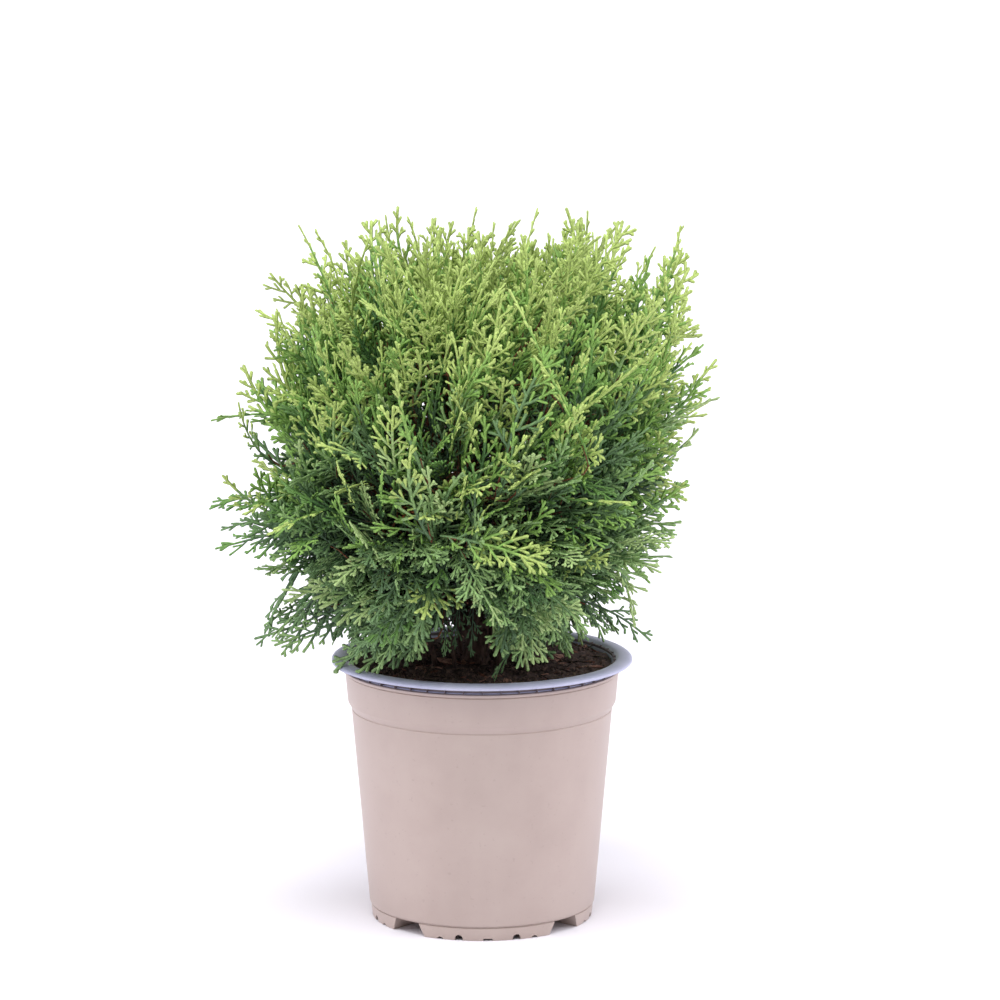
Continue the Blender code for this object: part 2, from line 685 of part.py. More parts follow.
def join(whole, parts):
    """Unites the parts with the whole in one Boolean, which is applied, and then removes them."""
    pieces = bpy.data.collections.new("pieces")
    bpy.context.scene.collection.children.link(pieces)
    for part in parts:
        bpy.context.scene.collection.objects.unlink(part)
        pieces.objects.link(part)
    union = whole.modifiers.new("union", "BOOLEAN")
    union.operation = "UNION"
    union.operand_type = "COLLECTION"
    union.collection = pieces
    union.solver = "EXACT"
    union.use_self = True
    graph = bpy.context.evaluated_depsgraph_get()
    joined = bpy.data.meshes.new_from_object(whole.evaluated_get(graph))
    whole.modifiers.clear()
    whole.data = joined
    for part in parts:
        bpy.data.objects.remove(part)
    bpy.data.collections.remove(pieces)


def make_mass(mass, material):
    """One mass: its stem, its core, and a twig and a toothed spray for each site, joined into one solid."""
    way = heading(mass)
    entry = mouth(mass) + way * GAP
    middle = core_middle(mass)
    hold = entry.lerp(middle, TWIG_HOLD)
    parts = [twig(entry, middle, BOUGH_TIP_RADIUS, TWIG_RADIUS, BOUGH_SIDES)]
    for site in spray_sites(mass):
        along = (site.root - hold).dot(way) - TWIG_LEAD
        start = hold + way * max(0.0, min(along, (middle - hold).length))
        parts.append(twig(start, site.root.lerp(site.tip, TWIG_SINK), TWIG_RADIUS, TWIG_TIP_RADIUS, 3))
        parts.append(blade("blade", site))
    join(core(mass, material), parts)


# ================================================================================================
# The whole plant
# ================================================================================================
def main():
    clear_scene()
    taupe = finish_material("taupe_plastic", (0.50, 0.41, 0.37), 0.55)
    blue_grey = finish_material("blue_grey_plastic", (0.42, 0.43, 0.58), 0.45)
    earth = finish_material("compost", (0.045, 0.028, 0.020), 0.95)
    bark = finish_material("bark", (0.20, 0.085, 0.050), 0.9)
    leaf = finish_material("foliage", (0.12, 0.24, 0.05), 0.6)
    make_shell(taupe)
    turned("pot_liner", liner_profile(), POT_STEPS, blue_grey)
    make_compost(earth)
    make_trunk(bark)
    masses = crown_masses()
    make_boughs(masses, bark)
    for mass in masses:
        make_mass(mass, leaf)


main()
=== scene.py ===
import json
import math
import random
from collections import namedtuple

import bmesh
import bpy
import numpy as np
from mathutils import Matrix, Vector

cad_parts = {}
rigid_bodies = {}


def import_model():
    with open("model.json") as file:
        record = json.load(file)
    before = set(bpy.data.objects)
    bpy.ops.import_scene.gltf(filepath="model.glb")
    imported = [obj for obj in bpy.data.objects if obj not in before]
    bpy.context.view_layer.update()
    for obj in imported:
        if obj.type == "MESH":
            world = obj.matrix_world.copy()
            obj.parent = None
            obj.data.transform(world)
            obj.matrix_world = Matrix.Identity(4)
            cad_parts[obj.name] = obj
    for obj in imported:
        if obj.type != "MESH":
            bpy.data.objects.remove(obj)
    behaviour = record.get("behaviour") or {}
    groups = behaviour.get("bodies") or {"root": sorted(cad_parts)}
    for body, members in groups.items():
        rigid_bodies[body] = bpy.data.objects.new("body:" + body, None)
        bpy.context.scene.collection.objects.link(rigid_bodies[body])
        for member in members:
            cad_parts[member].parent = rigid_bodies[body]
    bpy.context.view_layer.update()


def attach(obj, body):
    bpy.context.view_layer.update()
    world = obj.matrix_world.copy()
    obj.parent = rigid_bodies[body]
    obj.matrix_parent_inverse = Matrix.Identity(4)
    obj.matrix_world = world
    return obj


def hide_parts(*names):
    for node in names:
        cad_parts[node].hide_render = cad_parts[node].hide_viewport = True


# A dwarf globe thuja in its nursery pot. Sprays of scale leaves in a few habits are each made once. A seeded
# rule places them in each mass of foliage, and thin twigs join them to the end of the mass's bough.

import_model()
BODY = "root"

# ================================================================================================
# Sizes, in metres and degrees
# ================================================================================================
GAP = 0.0003
SHARP_FROM, POT_SHARP_FROM = math.radians(35), math.radians(30)

# ---- pot: outer shell -------------------------------------------------------------------------
POT_STEPS = 144
SHELL_WALL = 0.0013
FLOOR_THICKNESS = 0.0014
FOOT_RADIUS = 0.0624
FOOT_HEIGHT = 0.0078
FOOT_FLARE = 0.0008
FOOT_CREASE = 0.0006
WALL_FOOT_RADIUS = 0.0639
WALL_TOP_RADIUS = 0.0737
WALL_TOP = 0.1206
BAND_BOTTOM = 0.1245
BAND_BOTTOM_RADIUS = 0.0758
BAND_TOP_RADIUS = 0.0772
BEAD_RADIUS = 0.0783
BEAD_HEIGHT = 0.0017
SHELL_TOP = 0.1433
CUT_OVER = 0.001
EDGE_ROUND, ROUND_STEPS = 0.0004, 3
BEAD_CREASE = 0.0007  # size of the crease under the bead
WALL_GROOVE = 0.0005  # the crease between wall and band
FOOT_GROOVE = 0.0007  # how deep and how high the crease between foot and wall is

# ---- pot: openings in the foot ----------------------------------------------------------------
FOOT_TURN = 3.2
FOOT_SECTORS = 4
CHANNEL_BOTTOM_WIDTH = 0.0247
CHANNEL_TOP_WIDTH = 0.0172
CHANNEL_HEIGHT = 0.0074
CHANNEL_DEPTH = 0.024
ARCH_ANGLE, ARCH_RADIUS, ARCH_CENTRE = 15.0, 0.0023, 0.0009
SCALLOP_ANGLE, SCALLOP_RADIUS, SCALLOP_CENTRE = 25.0, 0.0023, -0.0009
SLOT_WIDTH, SLOT_HEIGHT, SLOT_SLOPE = 0.0060, 0.0013, 0.0005
NOTCH_LENGTH = 0.012
NOTCH_SIDES = 24
FOOT_REACH = FOOT_RADIUS + 0.004

# ---- pot: liner with the rolled lip ------------------------------------------------------------
POT_HEIGHT = 0.150
LIP_RADIUS = 0.085
LIP_THICKNESS = 0.0027
LIP_WALL = 0.0014
LIP_PLATE = 0.0016
LIP_DROP = 0.0021
LIP_SLOPE = 0.0045
LIP_STEPS = 8
NECK_RADIUS = 0.0764
RECESS_RADIUS = 0.0744  # at the bottom of the recess under the lip
RECESS_FLARE = 0.0008
# thickness of the dark ring that paints the shade in the recess
RECESS_SHADE_THICKNESS = 0.0014
MOUTH_RADIUS = 0.0766
MOUTH_DEPTH = 0.005
MOUTH_EDGE, MOUTH_EDGE_DROP = 0.0012, 0.0006
LINER_WALL = 0.0012
LINER_FLOOR = 0.0099
SHOULDER = 0.002
RIB_COUNT = 47
RIB_TURN = 0.3  # degrees from the front to the nearest rib
RIB_THICKNESS = 0.0004
RIB_BEVEL = 0.00012

# ---- compost ----------------------------------------------------------------------------------
COMPOST_TOP = 0.1460
COMPOST_DEPTH = 0.012
COMPOST_BUMP, COMPOST_ROUGHNESS = 0.0016, 0.0007
COMPOST_CALM = 0.02  # the bumps fade out this near the trunk
COMPOST_STEPS, COMPOST_RINGS = 96, 34
COMPOST_WALL_GAP = 0.0001
COMPOST_BARE = 0.003  # nothing lies on the compost this near the wall

# The shapes of what lies on the compost: how many, their widths and thicknesses as shares of their
# length, and how uneven they are. A strand is a fibre, made in its own way.
Shapes = namedtuple("Shapes", "count widths thicknesses rough")
SHAPES = {
    "crumb": Shapes(6, (0.60, 0.95), (0.50, 0.80), 0.35),
    "chip": Shapes(6, (0.30, 0.50), (0.10, 0.18), 0.30),
    "flake": Shapes(5, (0.35, 0.60), (0.08, 0.14), 0.30),
    "strand": Shapes(6, None, None, None),
    "slab": Shapes(5, (0.30, 0.50), (0.10, 0.16), 0.30),
}
STRAND_POINTS, STRAND_STEP, STRAND_THICKNESS = 6, 0.4, 0.055
Scatter = namedtuple("Scatter", "name shape material density spacing smallest largest tilt seed")
SCATTERS = (
    Scatter("compost_crumbs", "crumb", "crumb", 90000.0, 0.0020, 0.0008, 0.0022, 3.0, 3),
    Scatter("bark_chips", "chip", "chip", 9000.0, 0.0085, 0.0030, 0.0055, 0.5, 8),
    Scatter("bark_flakes", "flake", "flake", 3000.0, 0.0170, 0.0048, 0.0080, 0.45, 31),
    Scatter("bark_pieces", "slab", "flake", 1500.0, 0.0200, 0.0080, 0.0120, 0.30, 12),
    Scatter("compost_fibres", "strand", "strand", 12000.0, 0.0070, 0.0030, 0.0090, 0.35, 13),
)

# ---- trunk and boughs --------------------------------------------------------------------------
TRUNK_FOOT = Vector((-0.004, 0.0, COMPOST_TOP + GAP))
TRUNK_LEAVING = Vector((0.004, -0.001, 0.040))
TRUNK_ARRIVING = Vector((0.001, 0.0, -0.050))
HUB = Vector((-0.011, 0.0, 0.215))
HUB_SPACE = 0.052
TRUNK_STEPS = 10
TRUNK_RADIUS = 0.0050
TRUNK_TIP_RADIUS = 0.0026
FLARE_RADIUS = 0.0076
FLARE_HEIGHT = 0.003
STEM_RADIUS = 0.0042
BOUGH_RADIUS = 0.0029
BOUGH_TIP_RADIUS = 0.0022
BOUGH_SINK = 0.003  # how far inside the trunk's bark a bough begins
BOUGH_BEND = 0.42
BOUGH_STEPS = 10

# Bark: a limb's sides and the distance between its rings, how far the stringy relief stands out, and how
# finely it varies round the limb and along it.
Bark = namedtuple("Bark", "sides ring relief strands stretch")
BARK_TRUNK = Bark(40, 0.0011, 0.0030, 2.4, 95.0)
BARK_STEMS = Bark(30, 0.0011, 0.0022, 2.4, 95.0)
BARK_BOUGHS = Bark(18, 0.0011, 0.0012, 2.4, 95.0)
BARK_THIN_STEMS = Bark(8, 0.0040, 0.0006, 3.0, 200.0)
BARK_TWIGS = Bark(5, 0.0060, 0.0003, 2.0, 300.0)
BARK_STEPS = 40  # points up the trunk

ROOT_COUNT, ROOT_WILD = 6, 15.0
ROOT_RISE, ROOT_SINK = 0.006, 0.0035
ROOT_REACHES = (0.013, 0.018)
ROOT_RADIUS, ROOT_TAPER = 0.0027, 0.0016
ROOT_STEPS, ROOT_LEAVE, ROOT_DIP, ROOT_ARRIVE = 8, 0.003, 0.004, 0.008

# Thin stems beside the trunk: where each leaves the compost, how far it leans, and its radius.
ThinStem = namedtuple("ThinStem", "x y lean_x lean_y radius")
THIN_STEMS = (
    ThinStem(-0.026, -0.012, -0.016, -0.012, 0.0016),
    ThinStem(-0.015, -0.022, -0.008, -0.016, 0.0013),
    ThinStem(0.009, -0.020, 0.014, -0.014, 0.0015),
    ThinStem(-0.032, 0.008, -0.018, 0.002, 0.0015),
    ThinStem(0.016, 0.004, 0.016, 0.006, 0.0014),
    ThinStem(-0.012, 0.020, -0.006, 0.014, 0.0016),
    ThinStem(0.002, -0.010, 0.004, -0.020, 0.0012),
)
THIN_STEM_FOOT, THIN_STEM_TOP = COMPOST_TOP - 0.002, 0.204
THIN_STEM_RISE, THIN_STEM_ARRIVE, THIN_STEM_TAPER = 0.018, 0.014, 0.07

# ---- crown --------------------------------------------------------------------------------------
CROWN_WIDE = 0.145
CROWN_DEEP = 0.135
CROWN_UP = 0.189
CROWN_DOWN = 0.072
CROWN_LEAN = 0.10
SQUARENESS_UP = 3.2
SQUARENESS_DOWN = 2.2
LIP_CLEARANCE, LIP_MARGIN = 0.0035, 0.003
MOUTH_MARGIN, COMPOST_CLEARANCE = 0.004, 0.006

# On one side (+X or -X) the crown draws in by a share of its radius round a rise from the hub, in
# degrees; where the depth is negative it stands out instead.
Waist = namedtuple("Waist", "side depth rise spread")
WAISTS = (Waist(1, 0.14, 4.0, 34.0), Waist(-1, 0.09, -12.0, 15.0), Waist(-1, -0.06, 38.0, 20.0))
CORNERS = (  # finer ones: two corners at the top, and a notch with a low spray under it towards -X
    Waist(-1, -0.16, 61.0, 17.0), Waist(1, -0.12, 60.0, 15.0), Waist(-1, 0.16, -11.0, 7.0),
    Waist(-1, -0.06, -23.0, 7.0), Waist(-1, -0.05, 5.0, 12.0), Waist(1, 0.10, -11.0, 9.0),
)

TIER_WAVE, TIER_WAVES = 6.0, 3
RING_COUNT = 7
RING_TURN = 360.0 / RING_COUNT
FIRST_UPPER = -10.0
CORE_MIDDLE = 0.58

Tier = namedtuple("Tier", "name first low high seed bough_low bough_step bough_rise")
TOP = Tier("top", 0.0, 68.0, 90.0, 11, 0.0, 0.0, 90.0)
UPPER = Tier("upper", FIRST_UPPER, 27.0, 68.0, 100, 0.208, 0.0040, 38.0)
MIDDLE = Tier("middle", FIRST_UPPER + RING_TURN / 2, -5.0, 27.0, 200, 0.186, 0.0034, 24.0)
LOWER = Tier("lower", FIRST_UPPER + RING_TURN / 2, -42.0, -5.0, 300, 0.167, 0.0026, 8.0)
TIERS = (TOP, UPPER, MIDDLE, LOWER)
HEAVY_STEMS = {"foliage_upper_1": ("stem_right", 0.1580), "foliage_upper_4": ("stem_back", 0.1605)}
HEAVY_RISE = 30.0
START_ORDER = 3
GOLDEN_TURN = 137.508
GOLDEN_SHARE = 0.618034

Mass = namedtuple("Mass", "name tier azimuth half_width seed")

# ---- sprays -------------------------------------------------------------------------------------
# A layer of sprays ends at this share of the crown's radius or up to ragged short of it; a low bias
# leaves few of them at its outside.
Layer = namedtuple("Layer", "name depth ragged bias count shrink")
LAYERS = (
    Layer("outer", 1.00, 0.15, 1.1, 30, 1.0),
    Layer("second", 0.88, 0.09, 1.0, 26, 0.95),
    Layer("inner", 0.73, 0.11, 1.0, 18, 0.90),
)
COUNT_SHARE = {"top": 1.5, "upper": 1.2, "middle": 1.0, "lower": 0.66}
AIM_ROUND, AIM_UP, AIM_WILD = 6.0, 5.0, 0.34
LOOSE_LEFT, LOOSE_RIGHT = 2.2, 0.8  # how much more ragged the crown is towards -X and +X
LIFT_MOST, LIFT_FROM, LIFT_OVER = 0.60, -5.0, 40.0  # sprays turn upwards from this rise on, in degrees
LIFT_SIDES = 0.95  # by how much less at the crown's two sides
UNDER = Layer("under", 0.92, 0.36, 1.0, 15, 0.85)
UNDER_ANGLES = (-64.0, -30.0)
UNDER_SIDES = 28.0
UNDER_REACH = 10.0  # degrees further down that the lowest sprays of the lower tier aim
SPRAY_SIZES = (0.82, 1.10)
SPRAY_TRIES = 10
HUB_CLEARANCE = 0.016

# Where the crown is loose: between two heights, further out than this towards -X or +X, a share of the
# sprays is left out.
Loose = namedtuple("Loose", "low high side share")
LOOSE = (
    Loose(0.20, 0.260, -0.118, 0.80),
    Loose(0.260, 0.345, -0.116, 0.62),
    Loose(0.17, 0.21, 0.062, 0.60),
    Loose(0.18, 0.205, -0.085, 0.60),
    Loose(0.20, 0.30, 0.105, 0.30),
)

# How a spray grows: lengths in metres, openings in degrees between a shoot and its own side shoots.
Habit = namedtuple("Habit", "length reach pitch opening forward fork droop width count")
HABITS = {
    "fan": Habit(0.060, 0.028, 0.0045, 50.0, 0.38, 0.40, 0.17, 0.00182, 7),
    "plume": Habit(0.064, 0.021, 0.0046, 41.0, 0.40, 0.38, 0.12, 0.00182, 7),
    "leader": Habit(0.066, 0.013, 0.0050, 35.0, 0.42, 0.34, 0.08, 0.00186, 4),
    "drooping": Habit(0.066, 0.028, 0.0047, 48.0, 0.40, 0.42, 0.30, 0.00182, 4),
}
SHOOT_THICKNESS = 0.00085
BLUNT_LENGTH = 0.0009
AXIS_BEND = 0.8
AXIS_STEP, SHOOT_STEPS = 0.0055, (0.0046, 0.0065)  # between points of the axis and of its side shoots
SHORTEST_SHOOT = 0.0055
FORKED_FROM = 0.0075  # a side shoot longer than this has side shoots of its own
FORK_LONGEST, FORK_LEAST = 0.0095, 0.0026
FORK_PITCH, FORK_WIDTH = 0.92, 0.93  # of a second shoot against a first one

# How unevenly shoots grow: ranges that their measures are drawn from or multiplied by.
FIRST_STARTS, FORK_STARTS = (0.7, 1.3), (0.75, 1.0)
FIRST_SIZES, FORK_SIZES = (0.55, 1.12), (0.75, 1.15)
SHOOT_PITCHES, SHOOT_OPENINGS = (0.78, 1.25), (0.85, 1.15)
SHOOT_WIDTHS, SHOOT_SWELLS = (0.9, 1.08), (0.86, 1.10)
SHOOT_TWISTS, SHOOT_SLOPES = (-0.4, 0.4), (-0.15, 0.15)
MISSING_SHARE = 0.08  # of the side shoots

HABIT_SHARES = {
    "top": (("plume", 0.55), ("leader", 0.20), ("fan", 0.25)),
    "upper": (("plume", 0.45), ("leader", 0.12), ("fan", 0.43)),
    "middle": (("fan", 0.52), ("plume", 0.30), ("leader", 0.03), ("drooping", 0.15)),
    "lower": (("drooping", 0.60), ("fan", 0.36), ("plume", 0.04)),
}
LEVEL_SHARE = {"middle": 0.55, "upper": 0.25}  # sprays whose blade looks up
ROLLS = {"top": 90.0, "upper": 85.0, "middle": 80.0, "lower": 36.0}

# The crown is open in front of the trunk, up to this height and this far to each side of the middle.
HOLLOW_MIDDLE, HOLLOW_HALF, HOLLOW_TOP, HOLLOW_SHARE = -0.012, 0.015, 0.196, 0.14

# Single sprays that hang out of the crown: from root to tip, turned about their own length by roll degrees.
# Each one's tone, lighter or darker, is partly painted light and painted shade.
Hanging = namedtuple("Hanging", "mass habit number root tip roll tone")
HANGING = (
    Hanging("foliage_lower_5", "fan", 1, (-0.026, -0.056, 0.170), (-0.088, -0.034, 0.158), -52.0, 3.9),
    Hanging("foliage_lower_6", "fan", 3, (0.030, -0.048, 0.180), (0.000, -0.068, 0.155), 50.0, 2.9),
    Hanging("foliage_lower_7", "drooping", 0, (0.036, -0.048, 0.190), (0.050, -0.050, 0.164), 60.0, 2.9),
    Hanging("foliage_lower_6", "drooping", 2, (-0.012, -0.100, 0.230), (0.012, -0.126, 0.198), 30.0, 4.9),
    Hanging("foliage_lower_6", "fan", 0, (0.020, -0.090, 0.212), (0.058, -0.112, 0.189), 40.0, 3.9),
    Hanging("foliage_lower_5", "fan", 4, (-0.030, -0.080, 0.200), (-0.070, -0.095, 0.176), -40.0, 3.2),
    Hanging("foliage_lower_5", "drooping", 3, (-0.036, -0.050, 0.186), (-0.046, -0.060, 0.160), 55.0, 2.9),
    Hanging("foliage_lower_5", "fan", 2, (-0.046, -0.052, 0.184), (-0.076, -0.066, 0.162), -50.0, 2.8),
    Hanging("foliage_lower_5", "fan", 5, (-0.020, -0.040, 0.188), (-0.024, -0.058, 0.163), 40.0, 2.3),
    Hanging("foliage_lower_4", "fan", 2, (-0.075, -0.030, 0.186), (-0.130, -0.030, 0.170), -45.0, 3.0),
    Hanging("foliage_lower_4", "drooping", 1, (-0.070, -0.010, 0.192), (-0.124, -0.012, 0.182), -40.0, 2.6),
    Hanging("foliage_lower_4", "fan", 5, (-0.066, -0.045, 0.184), (-0.114, -0.062, 0.172), -50.0, 3.4),
    Hanging("foliage_lower_7", "fan", 2, (0.050, -0.040, 0.190), (0.096, -0.048, 0.172), 40.0, 2.9),
    Hanging("foliage_lower_3", "fan", 1, (-0.008, 0.030, 0.204), (-0.032, 0.048, 0.160), 45.0, 1.2),
    Hanging("foliage_lower_3", "drooping", 2, (-0.020, 0.034, 0.200), (-0.012, 0.056, 0.158), 45.0, 1.0),
    Hanging("foliage_lower_2", "fan", 4, (0.004, 0.034, 0.200), (0.014, 0.056, 0.160), 45.0, 1.2),
    Hanging("foliage_middle_4", "fan", 3, (-0.094, -0.020, 0.244), (-0.153, -0.024, 0.246), -18.0, 2.8),
    Hanging("foliage_middle_4", "fan", 0, (-0.092, -0.050, 0.234), (-0.147, -0.062, 0.230), -22.0, 3.0),
    Hanging("foliage_middle_4", "plume", 2, (-0.090, 0.000, 0.226), (-0.149, 0.004, 0.226), -24.0, 2.6),
    Hanging("foliage_upper_5", "leader", 1, (-0.080, -0.020, 0.345), (-0.097, -0.030, 0.398), -60.0, 4.8),
    Hanging("foliage_upper_1", "leader", 0, (0.090, -0.018, 0.344), (0.107, -0.024, 0.398), 60.0, 4.8),
    Hanging("foliage_middle_7", "fan", 1, (0.018, -0.016, 0.244), (0.036, -0.026, 0.292), -40.0, 1.0),
    Hanging("foliage_middle_7", "fan", 6, (0.024, 0.006, 0.240), (0.030, 0.016, 0.290), -40.0, 1.0),
    Hanging("foliage_upper_1", "plume", 4, (0.060, -0.010, 0.326), (0.077, -0.012, 0.385), 50.0, 4.2),
    Hanging("foliage_middle_6", "plume", 1, (-0.027, -0.110, 0.236), (-0.037, -0.130, 0.296), 30.0, 4.6),
    Hanging("foliage_middle_6", "leader", 2, (-0.030, -0.116, 0.272), (-0.044, -0.130, 0.334), 30.0, 5.0),
    Hanging("foliage_upper_7", "plume", 3, (0.058, -0.104, 0.276), (0.035, -0.122, 0.342), -40.0, 4.8),
    Hanging("foliage_upper_7", "leader", 3, (0.044, -0.098, 0.306), (0.020, -0.112, 0.374), -40.0, 5.2),
    Hanging("foliage_lower_6", "fan", 5, (-0.022, -0.108, 0.238), (0.034, -0.130, 0.228), 62.0, 4.8),
    Hanging("foliage_lower_6", "fan", 2, (-0.004, -0.036, 0.192), (-0.011, -0.054, 0.161), 40.0, 2.0),
    Hanging("foliage_lower_6", "drooping", 1, (0.010, -0.030, 0.192), (0.004, -0.048, 0.160), 55.0, 1.8),
    Hanging("foliage_lower_5", "fan", 0, (-0.012, -0.028, 0.196), (-0.020, -0.046, 0.164), 35.0, 1.6),
)

# ---- twigs ---------------------------------------------------------------------------------------
TWIG_TIP = 0.00042
TWIG_END = 0.7  # of the tip's radius, inside the spray
TWIG_SHARE = 0.40  # how a twig thickens with the number of sprays it carries
TWIG_STEPS, TWIG_BEND, TWIG_AIM = 4, 0.35, 0.6
TWIG_INTO_SPRAY = 0.16  # of the spray's length
STEM_STEPS, STEM_SINK = 6, 0.002
TURN_COST, INWARD_COST = 0.9, 2  # what sharp turns and turning back cost when a twig picks its limb

# ---- shades --------------------------------------------------------------------------------------
WEATHERED = (118, 100, 88)  # patches on the bark
PARTS = ("old", "grown", "young")
PART_ENDS = (0.40, 0.80)  # how far out along a spray its old part and its grown part end
SHADES = ("shade", "dark", "deep", "mid", "fresh", "lime", "tip")  # from the crown's inside to its ends
# The darkest greens of both, dealt to the crown's inside, are lifted and greyed towards blue: painted haze
# over the shade.
WARM = (  # yellow greens of the upper crown, each with the colour it varies to
    ((58, 66, 61), (53, 61, 56)),
    ((66, 84, 69), (60, 77, 64)),
    ((77, 106, 75), (70, 97, 69)),
    ((91, 130, 78), (83, 120, 73)),
    ((114, 156, 83), (104, 145, 77)),
    ((147, 187, 97), (134, 175, 89)),
    ((192, 214, 124), (180, 204, 114)),
)
COOL = (  # duller greens of the lower crown
    ((64, 66, 66), (59, 61, 61)),
    ((72, 82, 74), (66, 75, 68)),
    ((84, 106, 84), (77, 97, 78)),
    ((98, 128, 90), (90, 118, 84)),
    ((119, 153, 102), (110, 142, 95)),
    ((147, 181, 116), (136, 169, 108)),
    ((178, 204, 136), (167, 194, 127)),
)
PALETTES = {"warm": WARM, "cool": COOL}
WARM_FROM, WARM_TO = 0.235, 0.345  # heights between which the sprays change from cool to warm
DRY = ("dry", (168, 98, 58), (140, 78, 46))
DRY_SHARE = 0.05
LEAF_SHADOW = 0.62  # of a leaf's colour, between its scales
PART_WARMTH = (-0.15, 0.10, 0.35)
PART_TONES = (-1.1, 0.0, 1.3)  # old, grown and young part against the spray's own tone
# Lighter towards the top and the outside, darker low down and deep inside: partly the age of the growth,
# partly painted light and painted shade.
LOW_TONE, HIGH_TONE, TONE_TOP, TONE_CURVE = 2.9, 2.4, 0.40, 1.2
DEPTH_TONE, DEPTH_MIDDLE, TONE_SPREAD = 8.0, 0.88, 0.65

# ---- floor, light and camera -----------------------------------------------------------------------
FLOOR_HALF = 30.0
Sun = namedtuple("Sun", "name azimuth elevation width strength colour")
SUNS = (
    Sun("key_light", -98.0, 68.0, 30.0, 2.00, (1.0, 1.0, 1.0)),
    Sun("left_light", 176.0, 26.0, 50.0, 1.55, (0.94, 0.92, 1.0)),
    Sun("right_light", 4.0, 26.0, 50.0, 1.62, (0.94, 0.92, 1.0)),
)
TENT_LEVEL, TENT_TOP, TENT_FRONT = 0.27, 0.82, 0.10
BACKDROP_FROM, BACKDROP_TO, BACKDROP_LEVEL = 0.075, 0.15, 0.78  # heights it fades over, and what it adds
SENSOR_WIDTH, CAMERA_LENS = 36.0, 163.5
CAMERA_PLACE = Vector((0.0102, -2.5116, 0.6796))
CAMERA_TARGET = Vector((0.0102, 0.0, 0.2385))
CAMERA_REACH = 100.0

# ================================================================================================
# Meshes
# ================================================================================================
def link(thing):
    """Puts the object in the scene."""
    bpy.context.scene.collection.objects.link(thing)
    return thing


def object_from(name, points, faces, material=None, smooth=True):
    """An object from points and faces, smooth-shaded with its sharper edges kept."""
    mesh = bpy.data.meshes.new(name)
    mesh.from_pydata([tuple(p) for p in points], [], faces)
    mesh.validate()
    if smooth:
        mesh.shade_smooth()
        mesh.set_sharp_from_angle(angle=SHARP_FROM)
    if material:
        mesh.materials.append(material)
    return link(bpy.data.objects.new(name, mesh))


def evaluated_mesh(thing):
    """The object's mesh with its modifiers applied."""
    graph = bpy.context.evaluated_depsgraph_get()
    return bpy.data.meshes.new_from_object(thing.evaluated_get(graph))


def apply_modifiers(thing):
    """Makes the object's modifiers permanent."""
    made = evaluated_mesh(thing)
    thing.modifiers.clear()
    thing.data = made
    return thing


def finish_piece(piece, slot, *nodes):
    """The piece rides on the plant's one body and stands for these nodes."""
    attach(piece, BODY)
    if nodes:
        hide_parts(*nodes)
    return piece


# ================================================================================================
# Geometry Nodes
# ================================================================================================
class Wiring:
    """Adds nodes to a node tree. A node is read by its outputs."""

    def __init__(self, node_tree):
        self.nodes, self.links = node_tree.nodes, node_tree.links

    def wire(self, kind, sockets=None, out=0, **settings):
        """Adds a node, sets its inputs to values or to other nodes' outputs, and returns an output."""
        node = self.nodes.new(kind)
        for key, value in settings.items():
            setattr(node, key, value)
        for key, value in (sockets or {}).items():
            if isinstance(value, bpy.types.NodeSocket):
                self.links.new(value, node.inputs[key])
            else:
                node.inputs[key].default_value = value
        return node.outputs[out]


class Tree(Wiring):
    """A Geometry Nodes tree with named inputs."""

    def __init__(self, name, inputs):
        self.group = bpy.data.node_groups.new(name, "GeometryNodeTree")
        super().__init__(self.group)
        face = self.group.interface
        face.new_socket(name="Geometry", in_out="OUTPUT", socket_type="NodeSocketGeometry")
        face.new_socket(name="Geometry", in_out="INPUT", socket_type="NodeSocketGeometry")
        for label, kind in inputs.items():
            face.new_socket(name=label, in_out="INPUT", socket_type="NodeSocket" + kind)
        self.inlet = self.nodes.new("NodeGroupInput")
        self.outlet = self.nodes.new("NodeGroupOutput")

    def given(self, label):
        return self.inlet.outputs[label]

    def maths(self, operation, a, b=0.0):
        return self.wire("ShaderNodeMath", {0: a, 1: b}, operation=operation)

    def attribute(self, name, kind="FLOAT"):
        return self.wire("GeometryNodeInputNamedAttribute", {"Name": name}, data_type=kind)

    def store(self, geometry, name, value):
        sockets = {"Geometry": geometry, "Name": name, "Value": value}
        return self.wire("GeometryNodeStoreNamedAttribute", sockets, domain="POINT")

    def vector(self, x, y, z):
        return self.wire("ShaderNodeCombineXYZ", {"X": x, "Y": y, "Z": z})

    def rotation(self, angles):
        return self.wire("FunctionNodeEulerToRotation", {0: angles})

    def stand_pieces(self, points, pick, rotation, size):
        """Stands one of the given Pieces on each point; pick says which."""
        pieces = self.wire(
            "GeometryNodeCollectionInfo",
            {"Collection": self.given("Pieces"), "Separate Children": True, "Reset Children": True},
        )
        sockets = {"Points": points, "Instance": pieces, "Pick Instance": True, "Instance Index": pick}
        sockets |= {"Rotation": rotation, "Scale": size}
        return self.wire("GeometryNodeInstanceOnPoints", sockets)

    def finish(self, geometry):
        """Ends the tree: realises what is left of instances and gives the material."""
        real = self.wire("GeometryNodeRealizeInstances", {"Geometry": geometry})
        done = self.wire("GeometryNodeSetMaterial", {"Geometry": real, "Material": self.given("Material")})
        self.links.new(done, self.outlet.inputs[0])
        return self


def grow(tree, source, name, **inputs):
    """Runs the tree on the source object and returns a new plain mesh object; the source is removed."""
    change = source.modifiers.new(tree.group.name, "NODES")
    change.node_group = tree.group
    sockets = {s.name: s.identifier for s in tree.group.interface.items_tree if s.in_out == "INPUT"}
    for label, value in inputs.items():
        change[sockets[label.replace("_", " ")]] = value
    mesh = evaluated_mesh(source)
    mesh.name = name
    source.modifiers.clear()
    bpy.data.objects.remove(source)
    return link(bpy.data.objects.new(name, mesh))


